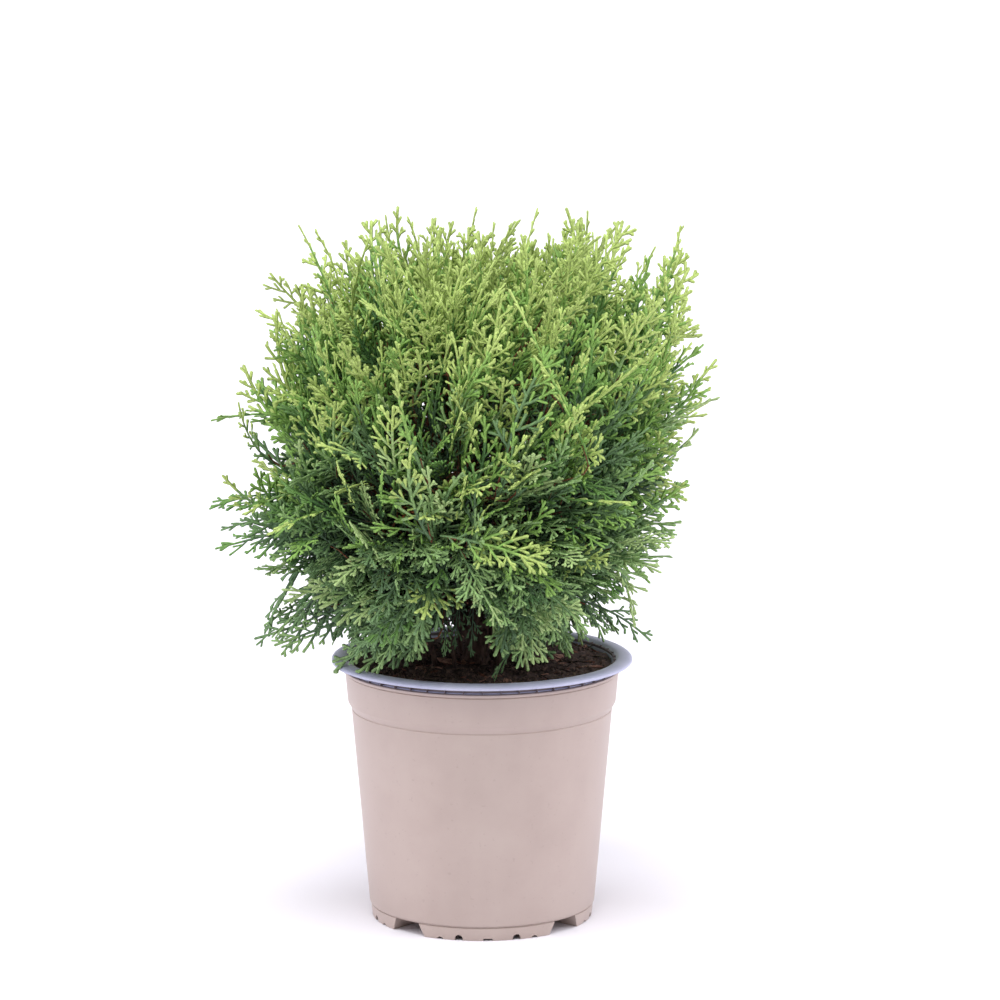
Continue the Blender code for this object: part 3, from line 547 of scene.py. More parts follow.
def sprays_tree():
    """Stands the pieces on points whose attributes say which piece, how it is turned and its size."""
    tree = Tree("sprays_on_points", {"Pieces": "Collection", "Material": "Material"})
    rotation = tree.rotation(tree.attribute("turn", "FLOAT_VECTOR"))
    pick = tree.attribute("pick", "INT")
    return tree.finish(tree.stand_pieces(tree.given("Geometry"), pick, rotation, tree.attribute("size")))


def scatter_tree():
    """Scatters the pieces over a surface, turned any way round and of mixed sizes."""
    numbers = ("Density", "Spacing", "Smallest", "Largest", "Tilt")
    inputs = {"Pieces": "Collection", "Seed": "Int", "Material": "Material"}
    tree = Tree("scatter_on_surface", inputs | {label: "Float" for label in numbers})
    density, spacing, smallest, largest, tilt = (tree.given(label) for label in numbers)
    seed = tree.given("Seed")
    points = tree.wire(
        "GeometryNodeDistributePointsOnFaces",
        {"Mesh": tree.given("Geometry"), "Distance Min": spacing, "Density Max": density, "Seed": seed},
        distribute_method="POISSON",
    )
    back = tree.maths("MULTIPLY", tilt, -1.0)
    turns = {0: tree.vector(back, back, 0.0), 1: tree.vector(tilt, tilt, math.tau), "Seed": seed}
    turn = tree.wire("FunctionNodeRandomValue", turns, data_type="FLOAT_VECTOR")
    sizes = {2: smallest, 3: largest, "Seed": tree.maths("ADD", seed, 7.0)}
    size = tree.wire("FunctionNodeRandomValue", sizes, out=1, data_type="FLOAT")
    pick = tree.wire("FunctionNodeRandomValue", {4: 0, 5: 99, "Seed": seed}, out=2, data_type="INT")
    return tree.finish(tree.stand_pieces(points, pick, tree.rotation(turn), size))


def limbs_tree():
    """Turns polylines with a thick attribute into round limbs; Relief raises stringy bark along them."""
    numbers = ("Ring Length", "Relief", "Strands", "Strand Stretch")
    inputs = {"Sides": "Int", "Material": "Material"}
    tree = Tree("limbs_on_paths", inputs | {label: "Float" for label in numbers})
    ring_length, relief, strands, stretch = (tree.given(label) for label in numbers)
    line = tree.wire("GeometryNodeMeshToCurve", {"Mesh": tree.given("Geometry")})
    line = tree.wire("GeometryNodeSetCurveRadius", {"Curve": line, "Radius": tree.attribute("thick")})
    line = tree.wire("GeometryNodeResampleCurve", {"Curve": line, "Length": ring_length}, mode="LENGTH")
    line = tree.store(line, "along", tree.wire("GeometryNodeSplineParameter", out="Length"))
    circle = {"Resolution": tree.given("Sides"), "Radius": 1.0}
    section = tree.wire("GeometryNodeCurvePrimitiveCircle", circle)
    section = tree.store(section, "around", tree.wire("GeometryNodeSplineParameter", out="Factor"))
    sockets = {"Curve": line, "Profile Curve": section, "Scale": tree.wire("GeometryNodeInputRadius")}
    limb = tree.wire("GeometryNodeCurveToMesh", sockets | {"Fill Caps": True})
    angle = tree.maths("MULTIPLY", tree.attribute("around"), math.tau)
    across = tree.maths("MULTIPLY", tree.maths("COSINE", angle), strands)
    beside = tree.maths("MULTIPLY", tree.maths("SINE", angle), strands)
    ahead = tree.maths("MULTIPLY", tree.attribute("along"), stretch)
    texture = {"Vector": tree.vector(across, beside, ahead), "Scale": 1.0, "Detail": 3.0, "Roughness": 0.6}
    bark = tree.wire("ShaderNodeTexNoise", texture)
    raised = tree.maths("MULTIPLY", tree.maths("SUBTRACT", bark, 0.42), relief)
    normal = tree.wire("GeometryNodeInputNormal")
    lift = tree.wire("ShaderNodeVectorMath", {0: normal, "Scale": raised}, operation="SCALE")
    limb = tree.wire("GeometryNodeSetPosition", {"Geometry": limb, "Offset": lift})
    return tree.finish(tree.wire("GeometryNodeSetShadeSmooth", {"Geometry": limb, "Shade Smooth": True}))


def ring_tree():
    """Stands one piece round the Z axis, Count times, the first one turned by Start."""
    inputs = {"Piece": "Object", "Count": "Int", "Radius": "Float", "Start": "Float", "Material": "Material"}
    tree = Tree("ring_of_pieces", inputs)
    count = tree.given("Count")
    circle = tree.wire("GeometryNodeMeshCircle", {"Vertices": count, "Radius": tree.given("Radius")})
    piece = tree.wire("GeometryNodeObjectInfo", {"Object": tree.given("Piece")}, out="Geometry")
    turn = tree.maths("MULTIPLY", tree.wire("GeometryNodeInputIndex"), tree.maths("DIVIDE", math.tau, count))
    sockets = {"Points": circle, "Instance": piece, "Rotation": tree.rotation(tree.vector(0.0, 0.0, turn))}
    standing = tree.wire("GeometryNodeInstanceOnPoints", sockets)
    real = tree.wire("GeometryNodeRealizeInstances", {"Geometry": standing})
    whole = tree.vector(0.0, 0.0, tree.given("Start"))
    return tree.finish(tree.wire("GeometryNodeTransform", {"Geometry": real, "Rotation": whole}))


def points_object(name, places, **attributes):
    """A mesh of loose points that carry these attributes."""
    mesh = bpy.data.meshes.new(name)
    mesh.from_pydata([tuple(p) for p in places], [], [])
    for key, values in attributes.items():
        kind = "FLOAT_VECTOR" if np.ndim(values) == 2 else ("INT" if isinstance(values[0], int) else "FLOAT")
        made = mesh.attributes.new(key, kind, "POINT")
        made.data.foreach_set("vector" if kind == "FLOAT_VECTOR" else "value", np.ravel(values))
    return link(bpy.data.objects.new(name, mesh))


def lines_object(name, paths):
    """A mesh of polylines. Each path is a list of (point, thickness)."""
    points, edges, thick = [], [], []
    for path in paths:
        first = len(points)
        for point, radius in path:
            points.append(tuple(point))
            thick.append(radius)
        edges += [(i, i + 1) for i in range(first, len(points) - 1)]
    mesh = bpy.data.meshes.new(name)
    mesh.from_pydata(points, edges, [])
    made = mesh.attributes.new("thick", "FLOAT", "POINT")
    made.data.foreach_set("value", thick)
    return link(bpy.data.objects.new(name, mesh))


def hidden_collection(name, things):
    """A collection outside the scene that holds the things."""
    made = bpy.data.collections.new(name)
    for thing in things:
        bpy.context.scene.collection.objects.unlink(thing)
        made.objects.link(thing)
    return made


def discard(collection):
    """Removes a collection and what is in it."""
    for thing in list(collection.objects):
        bpy.data.objects.remove(thing)
    bpy.data.collections.remove(collection)


# ================================================================================================
# Materials
# ================================================================================================
def linear(red, green, blue):
    """Scene-linear colour of display values from 0 to 255."""
    values = []
    for value in (red, green, blue):
        share = value / 255
        values.append(share / 12.92 if share <= 0.04045 else ((share + 0.055) / 1.055) ** 2.4)
    return (*values, 1.0)


def scaled(colour, times):
    return [min(255, value * times) for value in colour]


class Finish(Wiring):
    """A procedural Principled material."""

    def __init__(self, name, roughness, specular=0.5):
        self.material = bpy.data.materials.new(name)
        self.material.use_nodes = True
        super().__init__(self.material.node_tree)
        self.shader = self.nodes["Principled BSDF"]
        self.shader.inputs["Roughness"].default_value = roughness
        self.shader.inputs["Specular IOR Level"].default_value = specular
        self.place = self.wire("ShaderNodeTexCoord", out="Object")

    def noise(self, scale, detail=3.0, roughness=0.55, stretch=None):
        place = self.place
        if stretch:
            place = self.wire("ShaderNodeMapping", {"Vector": place, "Scale": stretch})
        sockets = {"Vector": place, "Scale": scale, "Detail": detail, "Roughness": roughness}
        return self.wire("ShaderNodeTexNoise", sockets)

    def ramp(self, value, stops):
        """Colours at positions along the value."""
        node = self.nodes.new("ShaderNodeValToRGB")
        self.links.new(value, node.inputs[0])
        while len(node.color_ramp.elements) < len(stops):
            node.color_ramp.elements.new(0.5)
        for element, (position, colour) in zip(node.color_ramp.elements, stops):
            element.position = position
            element.color = colour
        return node.outputs[0]

    def spread(self, value, low, high, to_low, to_high):
        """The value carried from one range to another."""
        sockets = {"Value": value, "From Min": low, "From Max": high, "To Min": to_low, "To Max": to_high}
        return self.wire("ShaderNodeMapRange", sockets)

    def mix(self, factor, a, b):
        return self.wire("ShaderNodeMix", {0: factor, 6: a, 7: b}, out=2, data_type="RGBA")

    def bump(self, height, distance, strength=1.0, normal=None):
        sockets = {"Height": height, "Distance": distance, "Strength": strength}
        if normal:
            sockets["Normal"] = normal
        return self.wire("ShaderNodeBump", sockets)

    def set(self, label, value):
        self.links.new(value, self.shader.inputs[label])


def plastic(name, colour, darker, lighter, roughness, grain, dust):
    """Moulded plastic: fine grain, faint flow marks and specks of dust."""
    made = Finish(name, roughness)
    cloud = made.noise(28.0, 4.0, 0.6)
    streak = made.noise(9.0, 3.0, 0.5, stretch=(6.0, 6.0, 0.7))
    shade = made.ramp(cloud, [(0.30, linear(*darker)), (0.52, linear(*colour)), (0.75, linear(*lighter))])
    shade = made.mix(made.spread(streak, 0.45, 0.75, 0.0, 0.35), shade, linear(*lighter))
    specks = made.noise(420.0, 2.0, 0.5)
    shade = made.mix(made.spread(specks, 0.66, 0.74, 0.0, dust), shade, linear(*scaled(colour, 0.72)))
    made.set("Base Color", shade)
    made.set("Roughness", made.spread(cloud, 0.3, 0.7, roughness - 0.06, roughness + 0.07))
    fine = made.bump(made.noise(2600.0, 2.0), 0.00005, grain)
    wavy = made.bump(made.noise(60.0, 2.0), 0.0004, 0.12, fine)
    made.set("Normal", wavy)
    return made.material


def leaf(name, colour, second):
    """Scale leaves: close-set scales that shade from the one green to the other."""
    made = Finish(name, 0.55, 0.22)
    broad = made.noise(70.0, 2.0, 0.5)
    scales = made.noise(620.0, 2.0, 0.6)
    shade = made.mix(made.spread(broad, 0.35, 0.65, 0.0, 1.0), linear(*colour), linear(*second))
    dark = linear(*scaled(colour, LEAF_SHADOW))
    shade = made.mix(made.spread(scales, 0.40, 0.62, 0.55, 0.0), shade, dark)
    made.set("Base Color", shade)
    made.set("Normal", made.bump(scales, 0.0006, 0.8))
    return made.material


def bark_finish(name, ridge, furrow, scale):
    """Stringy bark: ridges and furrows along the limb, weathered in patches."""
    made = Finish(name, 0.85, 0.25)
    strands = made.noise(scale, 4.0, 0.65, stretch=(1.0, 1.0, 0.18))
    flakes = made.noise(scale * 0.4, 2.0)
    edge = linear(*scaled(ridge, 1.3))
    shade = made.ramp(strands, [(0.34, linear(*furrow)), (0.52, linear(*ridge)), (0.75, edge)])
    grey = made.mix(made.spread(flakes, 0.5, 0.7, 0.0, 0.35), shade, linear(*WEATHERED))
    made.set("Base Color", grey)
    made.set("Normal", made.bump(strands, 0.0008, 0.9))
    return made.material


def earth_finish(name, dark, light, scale):
    """Compost and what lies on it: mixed grains, matt and uneven."""
    made = Finish(name, 0.95, 0.2)
    grains = made.noise(scale, 5.0, 0.7)
    pale = linear(*scaled(light, 1.7))
    shade = made.ramp(grains, [(0.35, linear(*dark)), (0.60, linear(*light)), (0.85, pale)])
    made.set("Base Color", shade)
    made.set("Normal", made.bump(made.noise(scale * 1.6, 4.0, 0.7), 0.0015, 1.0))
    return made.material


# ================================================================================================
# Pot
# ================================================================================================
def turned(name, profile, steps, material=None):
    """A closed turned solid. The profile runs (radius, height) from the lower axis point to the upper."""
    points, rings = [], []
    for radius, height in profile:
        ring = []
        for step in range(steps if radius > 0 else 1):
            angle = math.tau * step / steps
            ring.append(len(points))
            points.append((radius * math.cos(angle), radius * math.sin(angle), height))
        rings.append(ring)
    faces = []
    for lower, upper in zip(rings, rings[1:]):
        for step in range(steps):
            after = (step + 1) % steps
            corners = [lower[step % len(lower)], lower[after % len(lower)]]
            corners += [upper[after % len(upper)], upper[step % len(upper)]]
            faces.append(list(dict.fromkeys(corners)))
    return object_from(name, points, faces, material)


def rounded(profile, radius):
    """The profile with its corners off the axis rounded."""
    made = [profile[0]]
    for before, corner, after in zip(profile, profile[1:], profile[2:]):
        a, b, c = (np.array(p) for p in (before, corner, after))
        size = min(radius, np.linalg.norm(a - b) * 0.4, np.linalg.norm(c - b) * 0.4)
        start = b + (a - b) / np.linalg.norm(a - b) * size
        end = b + (c - b) / np.linalg.norm(c - b) * size
        for i in range(ROUND_STEPS + 1):
            t = i / ROUND_STEPS
            point = (1 - t) ** 2 * start + 2 * t * (1 - t) * b + t * t * end
            made.append((max(0.0, float(point[0])), float(point[1])))
    made.append(profile[-1])
    return made


def prism(name, outline, start, end):
    """The outline (across, up) carried along Y from start to end."""
    count = len(outline)
    points = [(x, start, z) for x, z in outline] + [(x, end, z) for x, z in outline]
    faces = [list(range(count)), list(range(2 * count - 1, count - 1, -1))]
    for i in range(count):
        after = (i + 1) % count
        faces.append([i, i + count, after + count, after])
    return object_from(name, points, faces, smooth=False)


def cut(thing, cutter):
    """The cutter is cut out of the thing once its modifiers are applied."""
    change = thing.modifiers.new(cutter.name, "BOOLEAN")
    change.operation = "DIFFERENCE"
    change.solver = "EXACT"
    change.object = cutter


def foot_direction(degrees):
    return math.radians(FOOT_TURN + degrees)


def channel_outline(grown):
    """Cross-section of a drainage channel in the foot; its ridge inside is grown by the wall."""
    half_low = CHANNEL_BOTTOM_WIDTH / 2 + grown
    half_high = CHANNEL_TOP_WIDTH / 2 + grown
    top = CHANNEL_HEIGHT + grown
    return [(-half_low, -CUT_OVER), (half_low, -CUT_OVER), (half_high, top), (-half_high, top)]


def arch_outline(radius, centre):
    """Circle that cuts an arch into the foot."""
    turns = [math.tau * (i + 0.5) / NOTCH_SIDES for i in range(NOTCH_SIDES)]
    return [(radius * math.cos(t), centre + radius * math.sin(t)) for t in turns]


def slot_outline():
    """Cross-section of the slot in the middle of each sector of the foot."""
    half = SLOT_WIDTH / 2
    high = half - SLOT_SLOPE
    return [(-half, -CUT_OVER), (half, -CUT_OVER), (high, SLOT_HEIGHT), (-high, SLOT_HEIGHT)]


def wall_radius(height):
    """Outer radius of the pot's wall at a height."""
    slope = (WALL_TOP_RADIUS - WALL_FOOT_RADIUS) / (WALL_TOP - FOOT_HEIGHT)
    return WALL_FOOT_RADIUS + slope * (height - FOOT_HEIGHT)


def shell_profile():
    """The outside of the pot, from its foot to the bead at its top."""
    return [
        (0.0, 0.0),
        (FOOT_RADIUS, 0.0),
        (FOOT_RADIUS + FOOT_FLARE, FOOT_HEIGHT - FOOT_GROOVE),
        (FOOT_RADIUS + FOOT_FLARE - FOOT_GROOVE, FOOT_HEIGHT - 0.5 * FOOT_GROOVE),
        (FOOT_RADIUS + FOOT_FLARE - FOOT_GROOVE, FOOT_HEIGHT + FOOT_CREASE - 0.5 * FOOT_GROOVE),
        (WALL_FOOT_RADIUS, FOOT_HEIGHT + FOOT_CREASE),
        (WALL_TOP_RADIUS, WALL_TOP - 1.6 * WALL_GROOVE),
        (WALL_TOP_RADIUS - WALL_GROOVE, WALL_TOP - 0.8 * WALL_GROOVE),
        (WALL_TOP_RADIUS, WALL_TOP + 0.4 * WALL_GROOVE),
        (BAND_BOTTOM_RADIUS, BAND_BOTTOM),
        (BAND_TOP_RADIUS, SHELL_TOP - BEAD_HEIGHT - BEAD_CREASE),
        (BAND_TOP_RADIUS - BEAD_CREASE, SHELL_TOP - BEAD_HEIGHT - 0.4 * BEAD_CREASE),
        (BEAD_RADIUS, SHELL_TOP - BEAD_HEIGHT + 0.0002),
        (BEAD_RADIUS, SHELL_TOP),
        (0.0, SHELL_TOP),
    ]


def cavity_profile():
    """The inside of the pot, carried on past its open top."""
    over = SHELL_TOP + CUT_OVER
    return [
        (0.0, FLOOR_THICKNESS),
        (FOOT_RADIUS - SHELL_WALL, FLOOR_THICKNESS),
        (FOOT_RADIUS + FOOT_FLARE - SHELL_WALL, FOOT_HEIGHT),
        (WALL_FOOT_RADIUS - SHELL_WALL, FOOT_HEIGHT + FOOT_CREASE),
        (WALL_TOP_RADIUS - SHELL_WALL, WALL_TOP),
        (BAND_BOTTOM_RADIUS - SHELL_WALL, BAND_BOTTOM),
        (BAND_TOP_RADIUS - SHELL_WALL, SHELL_TOP - BEAD_HEIGHT),
        (BAND_TOP_RADIUS - SHELL_WALL, over),
        (0.0, over),
    ]


def make_shell(material):
    """Outer pot: a turned cup whose foot is open in four places and notched between them."""
    shell = turned("nursery_pot", rounded(shell_profile(), EDGE_ROUND), POT_STEPS, material)
    cavity = turned("cavity", cavity_profile(), POT_STEPS)
    cutters = []
    inner = FOOT_RADIUS - CHANNEL_DEPTH
    for sector in range(FOOT_SECTORS):
        middle = 360.0 * sector / FOOT_SECTORS
        turn = foot_direction(middle + 180.0 / FOOT_SECTORS)
        channel = prism(f"channel_{sector}", channel_outline(0.0), -FOOT_REACH, -inner)
        ridge = prism(f"ridge_{sector}", channel_outline(SHELL_WALL), -FOOT_REACH, SHELL_WALL - inner)
        for cutter, target in ((channel, shell), (ridge, cavity)):
            cutter.rotation_euler.z = turn
            cut(target, cutter)
            cutters.append(cutter)
        outlines = {0.0: slot_outline()}
        for side in (-1, 1):
            outlines[side * ARCH_ANGLE] = arch_outline(ARCH_RADIUS, ARCH_CENTRE)
            outlines[side * SCALLOP_ANGLE] = arch_outline(SCALLOP_RADIUS, SCALLOP_CENTRE)
        for angle, outline in outlines.items():
            notch = prism(f"notch_{sector}_{angle:.0f}", outline, -FOOT_REACH, NOTCH_LENGTH - FOOT_REACH)
            notch.rotation_euler.z = foot_direction(middle + angle)
            cut(shell, notch)
            cutters.append(notch)
    cut(shell, cavity)
    apply_modifiers(shell)
    for helper in cutters + [cavity]:
        bpy.data.objects.remove(helper)
    shell.data.shade_smooth()
    shell.data.set_sharp_from_angle(angle=POT_SHARP_FROM)
    return finish_piece(shell, "pot_shell", "pot_shell")


def liner_outside(height):
    """Outer radius of the liner at a height."""
    return wall_radius(height) - SHELL_WALL - GAP


def liner_profile():
    """The inner layer: up its outside, round the recess and the rolled lip, and down its inside."""
    under_lip = POT_HEIGHT - LIP_THICKNESS
    shoulder = SHELL_TOP - SHOULDER
    lower = [
        (0.0, LINER_FLOOR),
        (liner_outside(LINER_FLOOR), LINER_FLOOR),
        (liner_outside(shoulder), shoulder),
        (BAND_TOP_RADIUS - SHELL_WALL - GAP, SHELL_TOP + GAP),
        (NECK_RADIUS, SHELL_TOP + GAP),
        (NECK_RADIUS, SHELL_TOP + 2 * GAP),
        (RECESS_RADIUS, SHELL_TOP + 4 * GAP),
        (RECESS_RADIUS + RECESS_FLARE, POT_HEIGHT - 2 * LIP_PLATE),
        (NECK_RADIUS, POT_HEIGHT - LIP_PLATE),
        (LIP_RADIUS - LIP_WALL, POT_HEIGHT - LIP_PLATE),
        (LIP_RADIUS - LIP_WALL, under_lip),
        (LIP_RADIUS, under_lip),
    ]
    lip = []
    for i in range(LIP_STEPS + 1):
        turn = math.radians(90 * i / LIP_STEPS)
        inwards, down = LIP_SLOPE * (1 - math.cos(turn)), LIP_DROP * (1 - math.sin(turn))
        lip.append((LIP_RADIUS - inwards, POT_HEIGHT - down))
    inside = [
        (MOUTH_RADIUS + MOUTH_EDGE, POT_HEIGHT),
        (MOUTH_RADIUS, POT_HEIGHT - MOUTH_EDGE_DROP),
        (liner_outside(POT_HEIGHT - MOUTH_DEPTH) - LINER_WALL, POT_HEIGHT - MOUTH_DEPTH),
        (liner_outside(LINER_FLOOR) - LINER_WALL, LINER_FLOOR + LINER_WALL),
        (0.0, LINER_FLOOR + LINER_WALL),
    ]
    return lower + lip + inside


def make_liner(material):
    liner = turned("pot_insert", liner_profile(), POT_STEPS, material)
    return finish_piece(liner, "pot_liner", "pot_liner")


def make_recess_shade(material):
    """A dark ring over the wall of the recess under the lip: painted shade in the recess."""
    low, high = SHELL_TOP, POT_HEIGHT - LIP_PLATE - GAP
    inner, outer = RECESS_RADIUS, RECESS_RADIUS + RECESS_SHADE_THICKNESS
    profile = [(inner, low), (outer, low), (outer, high), (inner, high), (inner, low)]
    ring = turned("recess_wall", profile, POT_STEPS, material)
    shape = bmesh.new()
    shape.from_mesh(ring.data)
    bmesh.ops.remove_doubles(shape, verts=shape.verts[:], dist=1e-6)
    shape.to_mesh(ring.data)
    shape.free()
    return finish_piece(ring, "pot_shell")


def make_ribs(material):
    """Thin upright ribs in the recess under the lip, in the recess's dark plastic: painted shade."""
    low, high = SHELL_TOP + GAP, POT_HEIGHT - LIP_PLATE + GAP
    inner, outer = RECESS_RADIUS, BEAD_RADIUS
    shape = bmesh.new()
    bmesh.ops.create_cube(shape, size=1.0)
    size = Vector((outer - inner, RIB_THICKNESS, high - low))
    middle = Vector((0.0, 0.0, (low + high) / 2))
    for vert in shape.verts:
        vert.co = Vector([a * b for a, b in zip(vert.co, size)]) + middle
    bmesh.ops.bevel(shape, geom=shape.edges[:], offset=RIB_BEVEL, segments=1, affect="EDGES")
    mesh = bpy.data.meshes.new("rib")
    shape.to_mesh(mesh)
    shape.free()
    rib = link(bpy.data.objects.new("rib", mesh))
    centre = points_object("ring", [(0, 0, 0)])
    ribs = grow(
        ring_tree(), centre, "lip_ribs", Piece=rib, Count=RIB_COUNT, Radius=(inner + outer) / 2,
        Start=math.radians(-90 + RIB_TURN), Material=material,
    )
    bpy.data.objects.remove(rib)
    return finish_piece(ribs, "pot_liner")


# ================================================================================================
# Compost
# ================================================================================================
def compost_height(x, y, waves):
    """Waves round the pot and small bumps, calm at the trunk."""
    radius, angle = math.hypot(x, y), math.atan2(y, x)
    away = math.hypot(x - TRUNK_FOOT.x, y - TRUNK_FOOT.y)
    waviness = sum(math.sin(turns * angle + start + radius * rate) for turns, start, rate in waves)
    rough = math.sin(x * 410 + 3 * math.sin(y * 230)) + math.sin(y * 370 + 2 * math.sin(x * 290))
    bumps = COMPOST_BUMP * waviness / len(waves) + COMPOST_ROUGHNESS * rough
    return COMPOST_TOP + bumps * min(1.0, away / COMPOST_CALM)


def compost_mesh(material):
    """The bed: rings out to the wall, and a flat underside."""
    rng = random.Random(5)
    waves = []
    for _ in range(5):
        waves.append((rng.randint(2, 6), rng.uniform(0, math.tau), rng.uniform(40, 110)))
    rim = liner_outside(COMPOST_TOP) - LINER_WALL - COMPOST_WALL_GAP
    steps, rings = COMPOST_STEPS, COMPOST_RINGS
    points, faces = [(0.0, 0.0, compost_height(0.001, 0.0, waves))], []
    for ring in range(1, rings + 1):
        radius = rim * ring / rings
        for step in range(steps):
            angle = math.tau * step / steps
            x, y = radius * math.cos(angle), radius * math.sin(angle)
            points.append((x, y, compost_height(x, y, waves)))
    for step in range(steps):
        points.append((*points[1 + (rings - 1) * steps + step][:2], COMPOST_TOP - COMPOST_DEPTH))
    points.append((0.0, 0.0, COMPOST_TOP - COMPOST_DEPTH))
    for step in range(steps):
        after = (step + 1) % steps
        faces.append([0, 1 + step, 1 + after])
        for ring in range(rings):
            a, b = 1 + ring * steps + step, 1 + ring * steps + after
            faces.append([a, a + steps, b + steps, b])
        faces.append([1 + rings * steps + after, 1 + rings * steps + step, len(points) - 1])
    return object_from("compost_bed", points, faces, material)


def lump(name, rng, widths, thicknesses, rough):
    """A crumb or chip: a small uneven solid, two units long."""
    stretch = (1.0, rng.uniform(*widths), rng.uniform(*thicknesses))
    shape = bmesh.new()
    bmesh.ops.create_icosphere(shape, subdivisions=1, radius=1.0)
    for vert in shape.verts:
        size = rng.uniform(1 - rough, 1.0)
        vert.co = Vector([a * b * size for a, b in zip(vert.co, stretch)])
    mesh = bpy.data.meshes.new(name)
    shape.to_mesh(mesh)
    shape.free()
    return link(bpy.data.objects.new(name, mesh))


def fibre(name, rng):
    """A thin bent strand, three-sided."""
    points, faces = [], []
    angle, place = rng.uniform(-0.3, 0.3), Vector((-1.0, 0.0, 0.0))
    for i in range(STRAND_POINTS):
        thick = STRAND_THICKNESS * (1 - 0.12 * abs(i - (STRAND_POINTS - 1) / 2))
        for side in range(3):
            turn = math.tau * side / 3
            points.append(place + Vector((0.0, thick * math.cos(turn), thick * math.sin(turn))))
        angle += rng.uniform(-0.5, 0.5)
        place = place + Vector((math.cos(angle), math.sin(angle), rng.uniform(-0.08, 0.12))) * STRAND_STEP
    for i in range(STRAND_POINTS - 1):
        for side in range(3):
            a, b = 3 * i + side, 3 * i + (side + 1) % 3
            faces.append([a, b, b + 3, a + 3])
    last = len(points) - 3
    faces += [[2, 1, 0], [last, last + 1, last + 2]]
    return object_from(name, points, faces, smooth=False)


def litter_shapes():
    """The shapes of each kind of litter."""
    rng = random.Random(21)
    made = {}
    for kind, shapes in SHAPES.items():
        for i in range(shapes.count):
            if kind == "strand":
                shape = fibre(f"{kind}_{i}", rng)
            else:
                shape = lump(f"{kind}_{i}", rng, shapes.widths, shapes.thicknesses, shapes.rough)
            made.setdefault(kind, []).append(shape)
    return made


def make_compost(materials):
    """The bed, and crumbs, chips and fibres scattered over it."""
    bed = compost_mesh(materials["bed"])
    shapes = litter_shapes()
    for kind in SCATTERS:
        ground = link(bpy.data.objects.new("ground", top_of(bed.data)))
        group = hidden_collection(kind.name + "_kinds", shapes[kind.shape])
        made = grow(
            scatter_tree(), ground, kind.name, Pieces=group, Density=kind.density, Spacing=kind.spacing,
            Smallest=kind.smallest, Largest=kind.largest, Tilt=kind.tilt, Seed=kind.seed,
            Material=materials[kind.material],
        )
        discard(group)
        finish_piece(made, "compost")
    finish_piece(bed, "compost", "compost")


def top_of(mesh):
    """The faces of the bed that look up, away from the pot's wall."""
    shape = bmesh.new()
    shape.from_mesh(mesh)
    limit = liner_outside(COMPOST_TOP) - LINER_WALL - COMPOST_BARE
    low = [f for f in shape.faces if f.normal.z < 0.3 or math.hypot(*f.calc_center_median()[:2]) > limit]
    bmesh.ops.delete(shape, geom=low, context="FACES")
    made = bpy.data.meshes.new("ground")
    shape.to_mesh(made)
    shape.free()
    return made


# ================================================================================================
# Trunk, stems and boughs
# ================================================================================================
def bent_path(start, first, last, end, steps):
    """Points along a Bezier curve."""
    path = []
    for i in range(steps + 1):
        t = i / steps
        u = 1 - t
        path.append(u**3 * start + 3 * u * u * t * first + 3 * u * t * t * last + t**3 * end)
    return path


def ray(azimuth, elevation):
    """Unit vector; azimuth runs from +X towards +Y, both in degrees."""
    turn, rise = math.radians(azimuth), math.radians(elevation)
    return Vector((math.cos(turn) * math.cos(rise), math.sin(turn) * math.cos(rise), math.sin(rise)))


def trunk_path(steps=TRUNK_STEPS):
    """Points up the middle of the trunk, to the mouth of the top mass."""
    tip = HUB + Vector((0, 0, HUB_SPACE))
    return bent_path(TRUNK_FOOT, TRUNK_FOOT + TRUNK_LEAVING, tip + TRUNK_ARRIVING, tip, steps)


def trunk_radii(path):
    """The trunk's radius at each point: an even taper and a flare at the foot."""
    rise = path[-1].z - path[0].z
    radii = []
    for point in path:
        height = point.z - path[0].z
        taper = TRUNK_RADIUS + (TRUNK_TIP_RADIUS - TRUNK_RADIUS) * height / rise
        radii.append(taper + (FLARE_RADIUS - TRUNK_RADIUS) * math.exp(-height / FLARE_HEIGHT))
    return radii


def trunk_at(height):
    """The trunk's middle and radius at a height."""
    path = trunk_path()
    radii = trunk_radii(path)
    for i in range(len(path) - 1):
        if path[i].z <= height <= path[i + 1].z:
            share = (height - path[i].z) / (path[i + 1].z - path[i].z)
            return path[i].lerp(path[i + 1], share), radii[i] + (radii[i + 1] - radii[i]) * share
    return path[-1], radii[-1]


def tier_wave(azimuth):
    """How far the tiers' borders rise or fall at an azimuth, in degrees."""
    return TIER_WAVE * math.sin(math.radians(TIER_WAVES * azimuth))


def heading(mass):
    """The way in which a mass grows out from the hub."""
    if mass.tier is TOP:
        return Vector((0, 0, 1))
    return ray(mass.azimuth, (mass.tier.low + mass.tier.high) / 2 + tier_wave(mass.azimuth))


def mouth(mass):
    """Where a mass begins and its bough ends."""
    return HUB + heading(mass) * HUB_SPACE


def bough_path(mass, start_height, radius, rise):
    """The bough from inside the trunk's bark to the mouth of its mass, with its radii."""
    centre, thickness = trunk_at(start_height)
    out = ray(mass.azimuth, 0)
    along = heading(mass)
    start = centre + out * max(0.0, thickness - BOUGH_SINK)
    end = mouth(mass)
    reach = (end - start).length * BOUGH_BEND
    path = bent_path(start, start + ray(mass.azimuth, rise) * reach, end - along * reach, end, BOUGH_STEPS)
    return [(point, radius + (BOUGH_TIP_RADIUS - radius) * i / BOUGH_STEPS) for i, point in enumerate(path)]


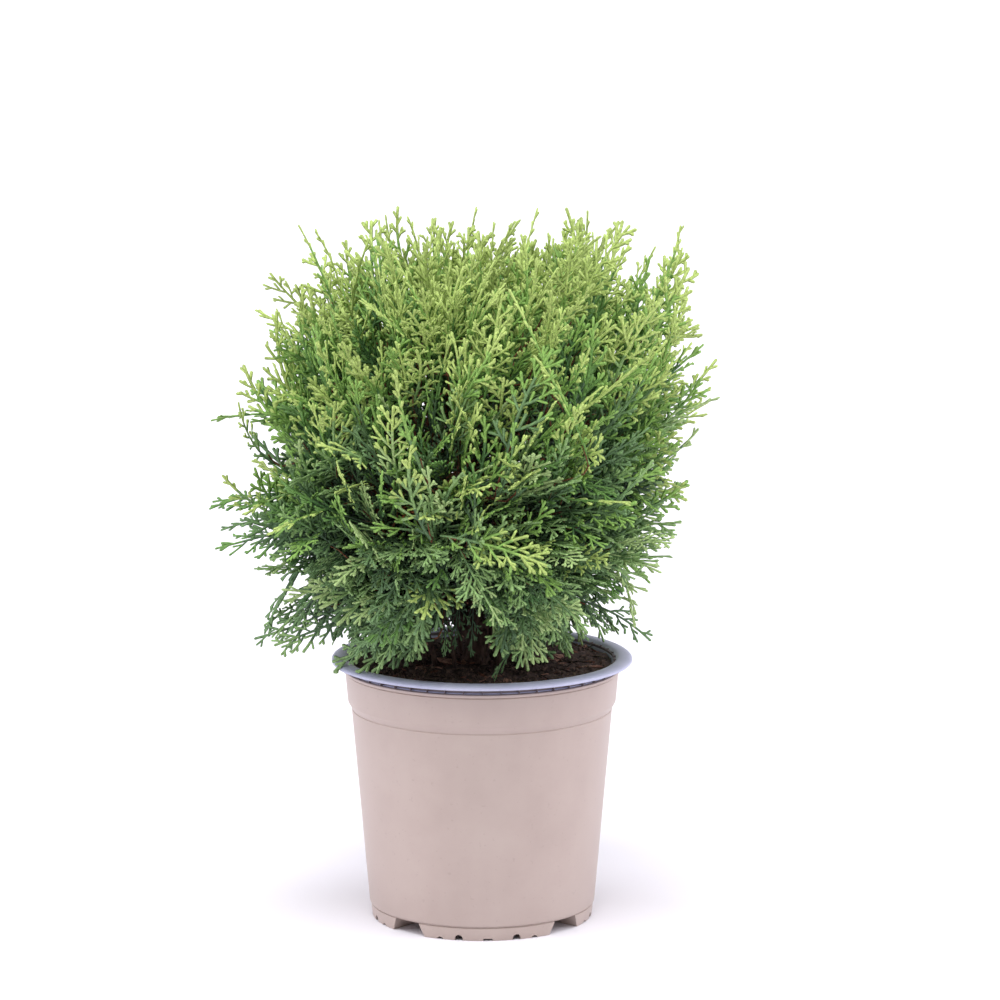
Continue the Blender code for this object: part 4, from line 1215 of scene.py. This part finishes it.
def thin_stem_paths():
    """Thin stems that come out of the compost round the trunk, with the radius at each point."""
    paths = []
    for stem in THIN_STEMS:
        start = Vector((stem.x, stem.y, THIN_STEM_FOOT))
        end = Vector((stem.x + stem.lean_x, stem.y + stem.lean_y, THIN_STEM_TOP))
        leaving, arriving = Vector((0, 0, THIN_STEM_RISE)), Vector((0, 0, THIN_STEM_ARRIVE))
        path = bent_path(start, start + leaving, end - arriving, end, STEM_STEPS)
        paths.append([(point, stem.radius * (1 - THIN_STEM_TAPER * i)) for i, point in enumerate(path)])
    return paths


def root_paths():
    """Roots that spread from the trunk's foot into the compost, with the radius at each point."""
    rng = random.Random(9)
    paths = []
    for i in range(ROOT_COUNT):
        out = ray(360 / ROOT_COUNT * i + rng.uniform(-ROOT_WILD, ROOT_WILD), 0)
        start = TRUNK_FOOT + out * ROOT_LEAVE + Vector((0, 0, ROOT_RISE))
        end = TRUNK_FOOT + out * rng.uniform(*ROOT_REACHES) - Vector((0, 0, ROOT_SINK))
        leaving, arriving = out * ROOT_LEAVE - Vector((0, 0, ROOT_DIP)), out * ROOT_ARRIVE
        path = bent_path(start, start + leaving, end - arriving, end, ROOT_STEPS)
        paths.append([(point, ROOT_RADIUS - ROOT_TAPER * k / ROOT_STEPS) for k, point in enumerate(path)])
    return paths


def crown_masses():
    """The top mass, and seven in a ring in each tier under it."""
    masses = [Mass("foliage_top", TOP, 0.0, 180.0, TOP.seed)]
    for tier in TIERS[1:]:
        for k in range(RING_COUNT):
            name = f"foliage_{tier.name}_{k + 1}"
            masses.append(Mass(name, tier, tier.first + RING_TURN * k, RING_TURN / 2, tier.seed + k))
    return masses


def grow_limbs(tree, name, paths, bark, material, *nodes):
    """One piece of round limbs along the paths, which stands for the nodes."""
    limbs = grow(
        tree, lines_object("limb_lines", paths), name, Sides=bark.sides, Ring_Length=bark.ring,
        Relief=bark.relief, Strands=bark.strands, Strand_Stretch=bark.stretch, Material=material,
    )
    finish_piece(limbs, "bark", *nodes)


def make_limbs(masses, material):
    """Trunk, heavy stems and boughs, with the bark's stringy relief."""
    path = trunk_path(BARK_STEPS)
    trunk = list(zip(path, trunk_radii(path)))
    stems, boughs, replaced = [], {}, {}
    for mass in masses:
        tier = mass.tier
        if mass.name in HEAVY_STEMS:
            _, height = HEAVY_STEMS[mass.name]
            stems.append(bough_path(mass, height, STEM_RADIUS, HEAVY_RISE))
        elif tier is not TOP:
            number = int(mass.name.split("_")[-1])
            height = tier.bough_low + tier.bough_step * (number * START_ORDER % RING_COUNT)
            boughs.setdefault(tier.name, []).append(bough_path(mass, height, BOUGH_RADIUS, tier.bough_rise))
            replaced.setdefault(tier.name, []).append(f"bough_{tier.name}_{number}")
    tree = limbs_tree()
    grow_limbs(tree, "bark_trunk", [trunk] + root_paths(), BARK_TRUNK, material, "trunk")
    heavy = [name for name, _ in HEAVY_STEMS.values()]
    grow_limbs(tree, "bark_stems", stems, BARK_STEMS, material, *heavy)
    for name, paths in boughs.items():
        grow_limbs(tree, f"bark_boughs_{name}", paths, BARK_BOUGHS, material, *replaced[name])


# ================================================================================================
# Foliage
# ================================================================================================
Site = namedtuple("Site", "root turn size variant mass layer reach tone")


def crown_radius(way):
    """How far from the hub the crown reaches along a unit vector, or along each row of an array."""
    x, y, z = np.moveaxis(np.asarray(way, dtype=float), -1, 0)
    tall = np.where(z > 0, CROWN_UP, CROWN_DOWN)
    power = np.where(z > 0, SQUARENESS_UP, SQUARENESS_DOWN)
    across = np.abs(x - CROWN_LEAN * z) / CROWN_WIDE
    total = across**power + np.abs(y / CROWN_DEEP) ** power + np.abs(z / tall) ** power
    rise = np.degrees(np.arcsin(np.clip(z, -1, 1)))
    drawn_in = 0.0
    for waist in WAISTS + CORNERS:
        aside = np.maximum(0.0, x * waist.side) ** 2
        near = np.maximum(0.0, 1 - ((rise - waist.rise) / waist.spread) ** 2)
        drawn_in = drawn_in + waist.depth * aside * near
    return total ** (-1 / power) * (1 - drawn_in)


def share_of_reach(points):
    """How far out the points lie, as a share of the crown's radius in their direction."""
    out = np.asarray(points) - np.array(HUB)
    far = np.linalg.norm(out, axis=-1)
    return far / crown_radius(out / far[..., None])


def aim(mass, i, count, rng):
    """Ray from the hub to where spray i of count ends, spread over the cell by the golden ratio."""
    tier = mass.tier
    if tier is TOP:
        azimuth = GOLDEN_TURN * i
        elevation = 90 - (90 - tier.low) * math.sqrt((i + 0.3) / count)
    else:
        azimuth = mass.azimuth + 2 * mass.half_width * ((i + 0.5) / count - 0.5)
        share = (mass.seed * 0.37 + i * GOLDEN_SHARE) % 1.0 - 0.5
        middle = (tier.low + tier.high) / 2 + tier_wave(azimuth)
        elevation = middle + (tier.high - tier.low) * share
        if tier is LOWER:
            elevation -= UNDER_REACH * (0.5 - share) ** 2
    return ray(azimuth + rng.uniform(-AIM_ROUND, AIM_ROUND), elevation + rng.uniform(-AIM_UP, AIM_UP))


def choose(shares, rng):
    """A name, picked by its share."""
    pick = rng.random() * sum(share for _, share in shares)
    for name, share in shares:
        pick -= share
        if pick <= 0:
            return name
    return shares[-1][0]


def spray_turn(mass, way, rng):
    """The spray's axes as columns: across its blade, along its growth, and out of its blade."""
    wild = Vector([rng.uniform(-AIM_WILD, AIM_WILD) for _ in range(3)])
    rise = math.degrees(math.asin(way.z))
    lift = LIFT_MOST * min(1.0, max(0.0, (rise - LIFT_FROM) / LIFT_OVER)) * (1 - LIFT_SIDES * abs(way.x))
    along = (way + Vector((0, 0, lift)) + wild).normalized()
    aside = ray(rng.uniform(0, 360), 0) if mass.tier is TOP else Vector((0, 0, 1))
    level = along.cross(aside).normalized()
    most = ROLLS[mass.tier.name]
    spread = mass.tier is LOWER or rng.random() < LEVEL_SHARE.get(mass.tier.name, 0.0)
    steadier = 0.5 if spread and mass.tier is MIDDLE else 1.0
    roll = math.radians(rng.uniform(-most, most) * steadier + 90 * spread)
    face = level * math.cos(roll) + along.cross(level) * math.sin(roll)
    if spread and face.z < 0:
        face = -face
    return np.array(Matrix((along.cross(face), along, face)).transposed())


def clear_of_pot(points):
    """True if every point is above the lip, or inside the mouth above the compost."""
    flat = np.hypot(points[:, 0], points[:, 1])
    floor = np.full(len(points), POT_HEIGHT - LIP_THICKNESS)
    floor[flat < LIP_RADIUS + LIP_MARGIN] = POT_HEIGHT + LIP_CLEARANCE
    floor[flat < MOUTH_RADIUS - MOUTH_MARGIN] = COMPOST_TOP + COMPOST_CLEARANCE
    return bool((points[:, 2] > floor).all())


def spray_along(mass, layer, way, library, rng):
    """One spray, slid along its own growth until its furthest point is at its share of the reach."""
    variant = rng.choice(library[choose(HABIT_SHARES[mass.tier.name], rng)])
    turn = spray_turn(mass, way, rng)
    size = layer.shrink * rng.uniform(*SPRAY_SIZES)
    loose = 1 + (LOOSE_LEFT if way.x < 0 else LOOSE_RIGHT) * way.x**2
    reach = layer.depth - layer.ragged * loose * rng.random() ** layer.bias
    radius = float(crown_radius(way))
    cloud = variant.cloud @ turn.T * size
    root = np.array(HUB) + np.array(way) * radius * reach - cloud[variant.tip]
    for _ in range(3):
        root = root + turn[:, 1] * (reach - share_of_reach(root + cloud).max()) * radius
    near = np.linalg.norm(root - np.array(HUB)) < HUB_CLEARANCE
    if near or not clear_of_pot(root + cloud) or in_hollow(root + cloud):
        return None
    return Site(Vector(root), turn, size, variant, mass, layer, reach, None)


def in_hollow(points):
    """True if too much of the spray is in the open space in front of the trunk."""
    inside = (np.abs(points[:, 0] - HOLLOW_MIDDLE) < HOLLOW_HALF) & (points[:, 1] < 0)
    return (inside & (points[:, 2] < HOLLOW_TOP)).mean() > HOLLOW_SHARE


def under_sites(mass, library, rng):
    """Sprays low down behind and beside the trunk, dulled by their low tone: partly painted shade."""
    sites = []
    if mass.tier is LOWER:
        for _ in range(UNDER.count):
            way = ray(mass.azimuth + rng.uniform(-UNDER_SIDES, UNDER_SIDES), rng.uniform(*UNDER_ANGLES))
            site = spray_along(mass, UNDER, way, library, rng)
            if site:
                sites.append(site)
    return sites


def hanging_sites(mass, library):
    """The single sprays of this mass, each laid from its root to its tip."""
    sites = []
    for spray in HANGING:
        if spray.mass == mass.name:
            root, tip = Vector(spray.root), Vector(spray.tip)
            along = (tip - root).normalized()
            level = along.cross(Vector((0, 0, 1))).normalized()
            roll = math.radians(spray.roll)
            face = level.cross(along) * math.cos(roll) + level * math.sin(roll)
            turn = np.array(Matrix((along.cross(face), along, face)).transposed())
            variant = library[spray.habit][spray.number]
            size = (tip - root).length / variant.length
            sites.append(Site(root, turn, size, variant, mass, LAYERS[0], 1.0, spray.tone))
    return sites


def spray_sites(mass, library):
    """The places of all sprays of a mass."""
    rng = random.Random(mass.seed * 7 + 1)
    sites = []
    for layer in LAYERS:
        count = round(layer.count * COUNT_SHARE[mass.tier.name])
        for i in range(count):
            for _ in range(SPRAY_TRIES):
                site = spray_along(mass, layer, aim(mass, i, count, rng), library, rng)
                if site and not thinned(site, rng):
                    sites.append(site)
                    break
    return sites + under_sites(mass, library, rng) + hanging_sites(mass, library)


def thinned(site, rng):
    """True if the spray is left out because it ends where the crown is loose."""
    end = site.root + Vector(site.turn[:, 1]) * site.size * site.variant.length
    for place in LOOSE:
        outside = end.x * math.copysign(1.0, place.side) > abs(place.side)
        if place.low < end.z < place.high and outside and rng.random() < place.share:
            return True
    return False


# ---- one spray ----------------------------------------------------------------------------------
Variant = namedtuple("Variant", "number length parts cloud tip")
Shoot = namedtuple("Shoot", "path twist width out_start out_end raised slope")


def shoot_path(start, angle, length, bend, step):
    """Points in the spray's plane; the shoot turns by bend radians along its length."""
    count = max(1, round(length / step))
    path, place = [Vector(start)], Vector(start)
    for i in range(count):
        turn = angle + bend * (i + 0.5) / count
        place = place + Vector((math.sin(turn), math.cos(turn))) * length / count
        path.append(place.copy())
    return path


def point_on(path, share):
    """The point at a share of the way along a path."""
    whole = share * (len(path) - 1)
    i = min(int(whole), len(path) - 2)
    return path[i].lerp(path[i + 1], whole - i)


def first_size(share, habit, rng):
    """Length of a side shoot of the main axis: longest a third of the way up, and never even."""
    swell = min(1.0, (share + 0.08) / 0.30) * (1.0 - share) ** 0.55
    return max(SHORTEST_SHOOT, habit.reach * swell * rng.uniform(*FIRST_SIZES))


def add_side_shoots(shoots, parent, angle, bend, length, habit, rng, order):
    """Side shoots leave both sides of their parent in turn; those of the first order fork again."""
    first = order == 1
    pitch = habit.pitch * (1.0 if first else FORK_PITCH)
    side = rng.choice((-1, 1))
    along = pitch * rng.uniform(*(FIRST_STARTS if first else FORK_STARTS))
    while along < length * 0.95 - 0.001:
        share = along / length
        opening = math.radians(habit.opening * (1.08 - 0.25 * share) * rng.uniform(*SHOOT_OPENINGS))
        if first:
            size = first_size(share, habit, rng)
        else:
            size = min(FORK_LONGEST, (length - along) * habit.fork + FORK_LEAST) * rng.uniform(*FORK_SIZES)
        turn, curve = angle + bend * share + side * opening, -side * opening * habit.forward
        path = shoot_path(point_on(parent.path, share), turn, size, curve, SHOOT_STEPS[order - 1])
        base = parent.out_start + (parent.out_end - parent.out_start) * share
        tip = min(1.0, base + 0.18 + 16.0 * size)
        width = habit.width * rng.uniform(*SHOOT_WIDTHS) * (1.0 if first else FORK_WIDTH)
        raised = parent.raised + parent.slope * along
        twist, slope = rng.uniform(*SHOOT_TWISTS), rng.uniform(*SHOOT_SLOPES)
        shoot = Shoot(path, twist, width, base, tip, raised, slope)
        shoots.append(shoot)
        if first and size > FORKED_FROM:
            add_side_shoots(shoots, shoot, turn, curve, size, habit, rng, 2)
        side = -side
        along += pitch * rng.uniform(*SHOOT_PITCHES) * (2.0 if rng.random() < MISSING_SHARE else 1.0)


def bend_out(point, habit, cup):
    """Lifts a point of the flat spray out of its plane: the spray arches and is slightly cupped."""
    share = max(0.0, point[1]) / habit.length
    arch = -habit.droop * habit.length * share**2
    return Vector((point[0], point[1], arch + cup * point[0] ** 2 * 8))


def make_variant(habit, rng, number):
    """One spray: its shoots as meshes in three parts, and the places of their points."""
    bend = rng.uniform(-AXIS_BEND, AXIS_BEND)
    path = shoot_path((0.0, 0.0), -bend * 0.5, habit.length, bend, AXIS_STEP)
    main = Shoot(path, 0.0, habit.width * 1.05, 0.0, 1.0, 0.0, 0.0)
    shoots = [main]
    add_side_shoots(shoots, main, -bend * 0.5, bend, habit.length, habit, rng, 1)
    parts = {part: ([], []) for part in PARTS}
    cup = rng.uniform(-1.0, 1.0)
    for shoot in shoots:
        add_shoot(parts, shoot, habit, cup, rng)
    ends = [bend_out(point, habit, cup) for shoot in shoots for point in shoot.path[1:]]
    return Variant(number, habit.length, parts, np.array(ends), len(main.path) - 2)


def add_shoot(parts, shoot, habit, cup, rng):
    """A flattened shoot with a ridge along it and a blunt end, in up to three parts by age."""
    centres, travelled = [], 0.0
    for i, point in enumerate(shoot.path):
        if i:
            travelled += (point - shoot.path[i - 1]).length
        centres.append(bend_out(point, habit, cup) + Vector((0, 0, shoot.raised + shoot.slope * travelled)))
    end, last = centres[-1], centres[-2]
    blunt = end.lerp(last, min(0.4, BLUNT_LENGTH / max(1e-6, (end - last).length)))
    centres[-1] = blunt
    rings, ages = [], []
    for i, centre in enumerate(centres):
        ahead = ((centres[i + 1] if i + 1 < len(centres) else end) - centres[max(0, i - 1)]).normalized()
        across = ahead.cross(Vector((0, 0, 1))).normalized()
        up = across.cross(ahead)
        turned_across = across * math.cos(shoot.twist) + up * math.sin(shoot.twist)
        up = up * math.cos(shoot.twist) - across * math.sin(shoot.twist)
        swell = 0.75 if i == 0 else rng.uniform(*SHOOT_SWELLS)
        if i == len(centres) - 1:
            swell = 1.08
        half, thick = shoot.width * swell / 2, SHOOT_THICKNESS * swell
        rings.append((centre - turned_across * half, centre + turned_across * half, centre + up * thick))
        share = i / (len(centres) - 1)
        out = shoot.out_start + (shoot.out_end - shoot.out_start) * share
        ages.append(sum(out > limit for limit in PART_ENDS))
    start = 0
    for i in range(1, len(rings)):
        if i == len(rings) - 1 or ages[i + 1] != ages[i]:
            add_prism(parts[PARTS[ages[i]]], rings[start : i + 1], end if i == len(rings) - 1 else None)
            start = i


def add_prism(part, rings, end):
    """Three-sided skin through the rings, closed by a point at its end."""
    points, faces = part
    first = len(points)
    for ring in rings:
        points.extend(ring)
    for i in range(len(rings) - 1):
        for side in range(3):
            a, b = first + 3 * i + side, first + 3 * i + (side + 1) % 3
            faces.append([a, b, b + 3, a + 3])
    if end is not None:
        last = first + 3 * (len(rings) - 1)
        points.append(end)
        for side in range(3):
            faces.append([last + side, last + (side + 1) % 3, len(points) - 1])


def spray_library():
    """The variants of each habit, and their meshes in a collection, part by part in order."""
    things, library = [], {}
    number = 0
    for name, habit in HABITS.items():
        library[name] = []
        for _ in range(habit.count):
            variant = make_variant(habit, random.Random(1000 + 17 * number), number)
            library[name].append(variant)
            for k, part in enumerate(PARTS):
                thing = object_from(f"spray_{number:02d}_{k}", *variant.parts[part], smooth=False)
                thing.data.shade_smooth()
                things.append(thing)
            number += 1
    return library, hidden_collection("spray_kinds", things)


def tone_of(site, rng):
    """How light a spray is: lighter towards the top and the outside, darker low down and deep inside; partly
    the age of its growth, partly painted light and painted shade.
    """
    if site.tone is not None:
        return site.tone
    tip = site.root.z + site.turn[2, 1] * site.size * site.variant.length
    height = (tip - POT_HEIGHT) / (TONE_TOP - POT_HEIGHT)
    tone = LOW_TONE + HIGH_TONE * min(1.0, max(0.0, height)) ** TONE_CURVE
    return tone + (site.reach - DEPTH_MIDDLE) * DEPTH_TONE + rng.gauss(0.0, TONE_SPREAD)


def deal_out(sites, rng):
    """For each tier and shade, the parts of sprays that take it, as (site, part number)."""
    dealt = {}
    for site in sites:
        tone = tone_of(site, rng)
        dry = rng.random() < DRY_SHARE and site.layer is LAYERS[2] and site.mass.tier in (MIDDLE, LOWER)
        middle = site.root.z + site.turn[2, 1] * site.size * site.variant.length * 0.5
        warmth = (middle - WARM_FROM) / (WARM_TO - WARM_FROM) - rng.random()
        for k, offset in enumerate(PART_TONES):
            level = min(len(SHADES) - 1, max(0, round(tone + offset)))
            hue = "warm" if warmth + PART_WARMTH[k] > 0 else "cool"
            name = DRY[0] if dry else f"{hue}_{SHADES[level]}"
            dealt.setdefault((site.mass.tier.name, name), []).append((site, k))
    return dealt


def make_sprays(masses, sites, kinds, materials):
    """One piece of sprays for each tier and shade."""
    tree = sprays_tree()
    for (tier, shade), rows in sorted(deal_out(sites, random.Random(77)).items()):
        places = points_object(
            "spray_places",
            [site.root for site, _ in rows],
            turn=np.array([tuple(Matrix(site.turn).to_euler()) for site, _ in rows]),
            size=[float(site.size) for site, _ in rows],
            pick=[len(PARTS) * site.variant.number + k for site, k in rows],
        )
        made = grow(tree, places, f"sprays_{tier}_{shade}", Pieces=kinds, Material=materials[shade])
        finish_piece(made, "foliage", *[mass.name for mass in masses if mass.tier.name == tier])
    discard(kinds)


# ---- twigs ---------------------------------------------------------------------------------------
def best_start(root, places):
    """Which place a twig to this root leaves from: one near it, on its inner side and on its way out."""
    hub, cloud = np.array(HUB), np.array(places)
    gap, out = root - cloud, cloud - hub
    far, out_length = np.linalg.norm(gap, axis=1) + 1e-6, np.linalg.norm(out, axis=1) + 1e-6
    cosine = np.einsum("ij,ij->i", gap, out) / far / out_length
    inward = np.maximum(0, out_length - np.linalg.norm(root - hub))
    return int(np.argmin(far * (1 + TURN_COST * (1 - cosine)) + inward * INWARD_COST))


def path_to_spray(begin, site):
    """From a limb to the spray's root, and a little way along its axis."""
    reach = (site.root - begin).length
    leave = (begin - HUB).normalized().lerp((site.root - begin).normalized(), TWIG_AIM).normalized()
    way = Vector(site.turn[:, 1])
    first, last = begin + leave * reach * TWIG_BEND, site.root - way * reach * TWIG_BEND
    path = bent_path(begin, first, last, site.root, TWIG_STEPS)
    return path + [site.root + way * site.size * site.variant.length * TWIG_INTO_SPRAY]


def twig_paths(mass, sites):
    """Polylines from the mass's stem out to every spray, thicker where they carry more sprays."""
    way = heading(mass)
    start = mouth(mass) - way * STEM_SINK
    middle = HUB + way * crown_radius(way) * CORE_MIDDLE
    count = STEM_STEPS + 1
    places = [np.array(start.lerp(middle, i / STEM_STEPS)) for i in range(count)]
    parents, loads, runs = [-1] + list(range(STEM_STEPS)), [0] * count, [list(range(count))]
    for site in sorted(sites, key=lambda s: (s.root - HUB).length):
        best = best_start(np.array(site.root), places)
        run = [best]
        for point in path_to_spray(Vector(places[best]), site)[1:]:
            parents.append(run[-1])
            places.append(np.array(point))
            loads.append(0)
            run.append(len(places) - 1)
        loads[run[-1]] = 1
        runs.append(run)
    for i in range(len(places) - 1, 0, -1):
        loads[parents[i]] += loads[i]
    paths = []
    for number, run in enumerate(runs):
        carried = [loads[i] for i in run]
        if number:
            carried[0] = carried[1]
        radii = [min(BOUGH_TIP_RADIUS, TWIG_TIP * max(1, load) ** TWIG_SHARE) for load in carried]
        if number:
            radii[-1] = TWIG_TIP * TWIG_END
        paths.append([(Vector(places[i]), radius) for i, radius in zip(run, radii)])
    return paths


def make_twigs(masses, by_mass, material, bark):
    """The thin stems beside the trunk, and the twigs of each tier."""
    tree = limbs_tree()
    grow_limbs(tree, "thin_stems", thin_stem_paths(), BARK_THIN_STEMS, bark)
    for tier in TIERS:
        paths = []
        for mass in masses:
            if mass.tier is tier:
                paths += twig_paths(mass, by_mass[mass.name])
        grow_limbs(tree, f"twigs_{tier.name}", paths, BARK_TWIGS, material)


# ================================================================================================
# Stage
# ================================================================================================
def make_floor():
    """A near-white floor under the whole view."""
    finish = Finish("studio_floor", 0.7, 0.05)
    tint = finish.noise(0.6, 2.0)
    finish.set("Base Color", finish.ramp(tint, [(0.3, linear(227, 225, 231)), (0.7, linear(229, 227, 233))]))
    half = FLOOR_HALF
    corners = [(-half, -half, 0), (half, -half, 0), (half, half, 0), (-half, half, 0)]
    object_from("studio_floor", corners, [[0, 1, 2, 3]], finish.material)


def make_light_tent():
    """White light from all round, more from above and a little more from the front, and a white backdrop."""
    world = bpy.data.worlds.new("light_tent")
    bpy.context.scene.world = world
    world.use_nodes = True
    tent = Wiring(world.node_tree)
    way = tent.wire("ShaderNodeTexCoord", out="Generated")
    strength = TENT_LEVEL
    for axis, amount in (((0.0, 0.0, 1.0), TENT_TOP), ((0.0, -1.0, 0.0), TENT_FRONT)):
        facing = tent.wire("ShaderNodeVectorMath", {0: way, 1: axis}, out="Value", operation="DOT_PRODUCT")
        share = tent.wire("ShaderNodeMath", {0: facing, 1: 0.0}, operation="MAXIMUM")
        strength = tent.wire("ShaderNodeMath", {0: share, 1: amount, 2: strength}, operation="MULTIPLY_ADD")
    height = tent.wire("ShaderNodeSeparateXYZ", {0: way}, out="Z")
    fade = {"From Min": BACKDROP_FROM, "From Max": BACKDROP_TO, "To Min": BACKDROP_LEVEL, "To Max": 0.0}
    backdrop = tent.wire("ShaderNodeMapRange", {"Value": height} | fade, interpolation_type="SMOOTHSTEP")
    background = tent.nodes["Background"]
    background.inputs["Color"].default_value = (1.0, 1.0, 1.0, 1.0)
    tent.links.new(tent.wire("ShaderNodeMath", {0: strength, 1: backdrop}), background.inputs["Strength"])


def make_suns():
    """A soft main light from the front and above, and a cool one from each side."""
    for sun in SUNS:
        light = bpy.data.lights.new(sun.name, "SUN")
        light.energy, light.color, light.angle = sun.strength, sun.colour, math.radians(sun.width)
        thing = link(bpy.data.objects.new(sun.name, light))
        thing.rotation_euler = ray(sun.azimuth, sun.elevation).to_track_quat("Z", "Y").to_euler()


def make_camera():
    """A long lens in front of the plant, looking slightly down."""
    camera = link(bpy.data.objects.new("camera", bpy.data.cameras.new("camera")))
    camera.data.sensor_width = SENSOR_WIDTH
    camera.data.lens = CAMERA_LENS
    camera.data.clip_end = CAMERA_REACH
    camera.location = CAMERA_PLACE
    camera.rotation_euler = (CAMERA_TARGET - CAMERA_PLACE).to_track_quat("-Z", "Y").to_euler()
    scene = bpy.context.scene
    scene.camera = camera
    scene.view_settings.view_transform = "Standard"
    scene.view_settings.look = "None"


# ================================================================================================
# The whole plant
# ================================================================================================
def make_pot():
    """The shell, the liner, the recess with its ribs in painted shade, and the compost with what lies on it.
    """
    taupe = plastic("taupe_plastic", (174, 157, 150), (170, 153, 146), (178, 162, 155), 0.42, 0.25, 0.15)
    lavender = ((176, 178, 204), (164, 166, 192), (190, 191, 214))
    # a dark plastic for the recess and its ribs: painted shade under the lip
    recess = plastic("recess_plastic", (104, 92, 94), (99, 88, 90), (109, 97, 99), 0.5, 0.25, 0.15)
    make_shell(taupe)
    make_liner(plastic("lavender_grey_plastic", *lavender, 0.38, 0.2, 0.2))
    make_recess_shade(recess)
    make_ribs(recess)
    make_compost({
        "bed": earth_finish("damp_compost", (50, 42, 42), (94, 78, 72), 300.0),
        "crumb": earth_finish("compost_crumbs", (56, 46, 45), (110, 90, 80), 500.0),
        "chip": earth_finish("bark_chips", (70, 44, 38), (124, 84, 70), 260.0),
        "flake": earth_finish("bark_flakes", (110, 76, 66), (172, 132, 116), 240.0),
        "strand": earth_finish("compost_fibres", (14, 10, 9), (44, 32, 26), 300.0),
    })


def leaf_shades():
    """The leaf materials by the name of their shade."""
    shades = {DRY[0]: leaf("leaf_dry", *DRY[1:])}
    for hue, palette in PALETTES.items():
        for name, colours in zip(SHADES, palette):
            shades[f"{hue}_{name}"] = leaf(f"leaf_{hue}_{name}", *colours)
    return shades


def make_plant():
    """The limbs, the sprays and the twigs between them."""
    bark = bark_finish("stringy_bark", (76, 57, 50), (34, 27, 25), 520.0)
    twig = bark_finish("twig_bark", (118, 72, 50), (54, 36, 28), 900.0)
    masses = crown_masses()
    make_limbs(masses, bark)
    library, kinds = spray_library()
    by_mass = {mass.name: spray_sites(mass, library) for mass in masses}
    make_sprays(masses, [site for sites in by_mass.values() for site in sites], kinds, leaf_shades())
    make_twigs(masses, by_mass, twig, bark)


make_pot()
make_plant()
make_floor()
make_light_tent()
make_suns()
make_camera()
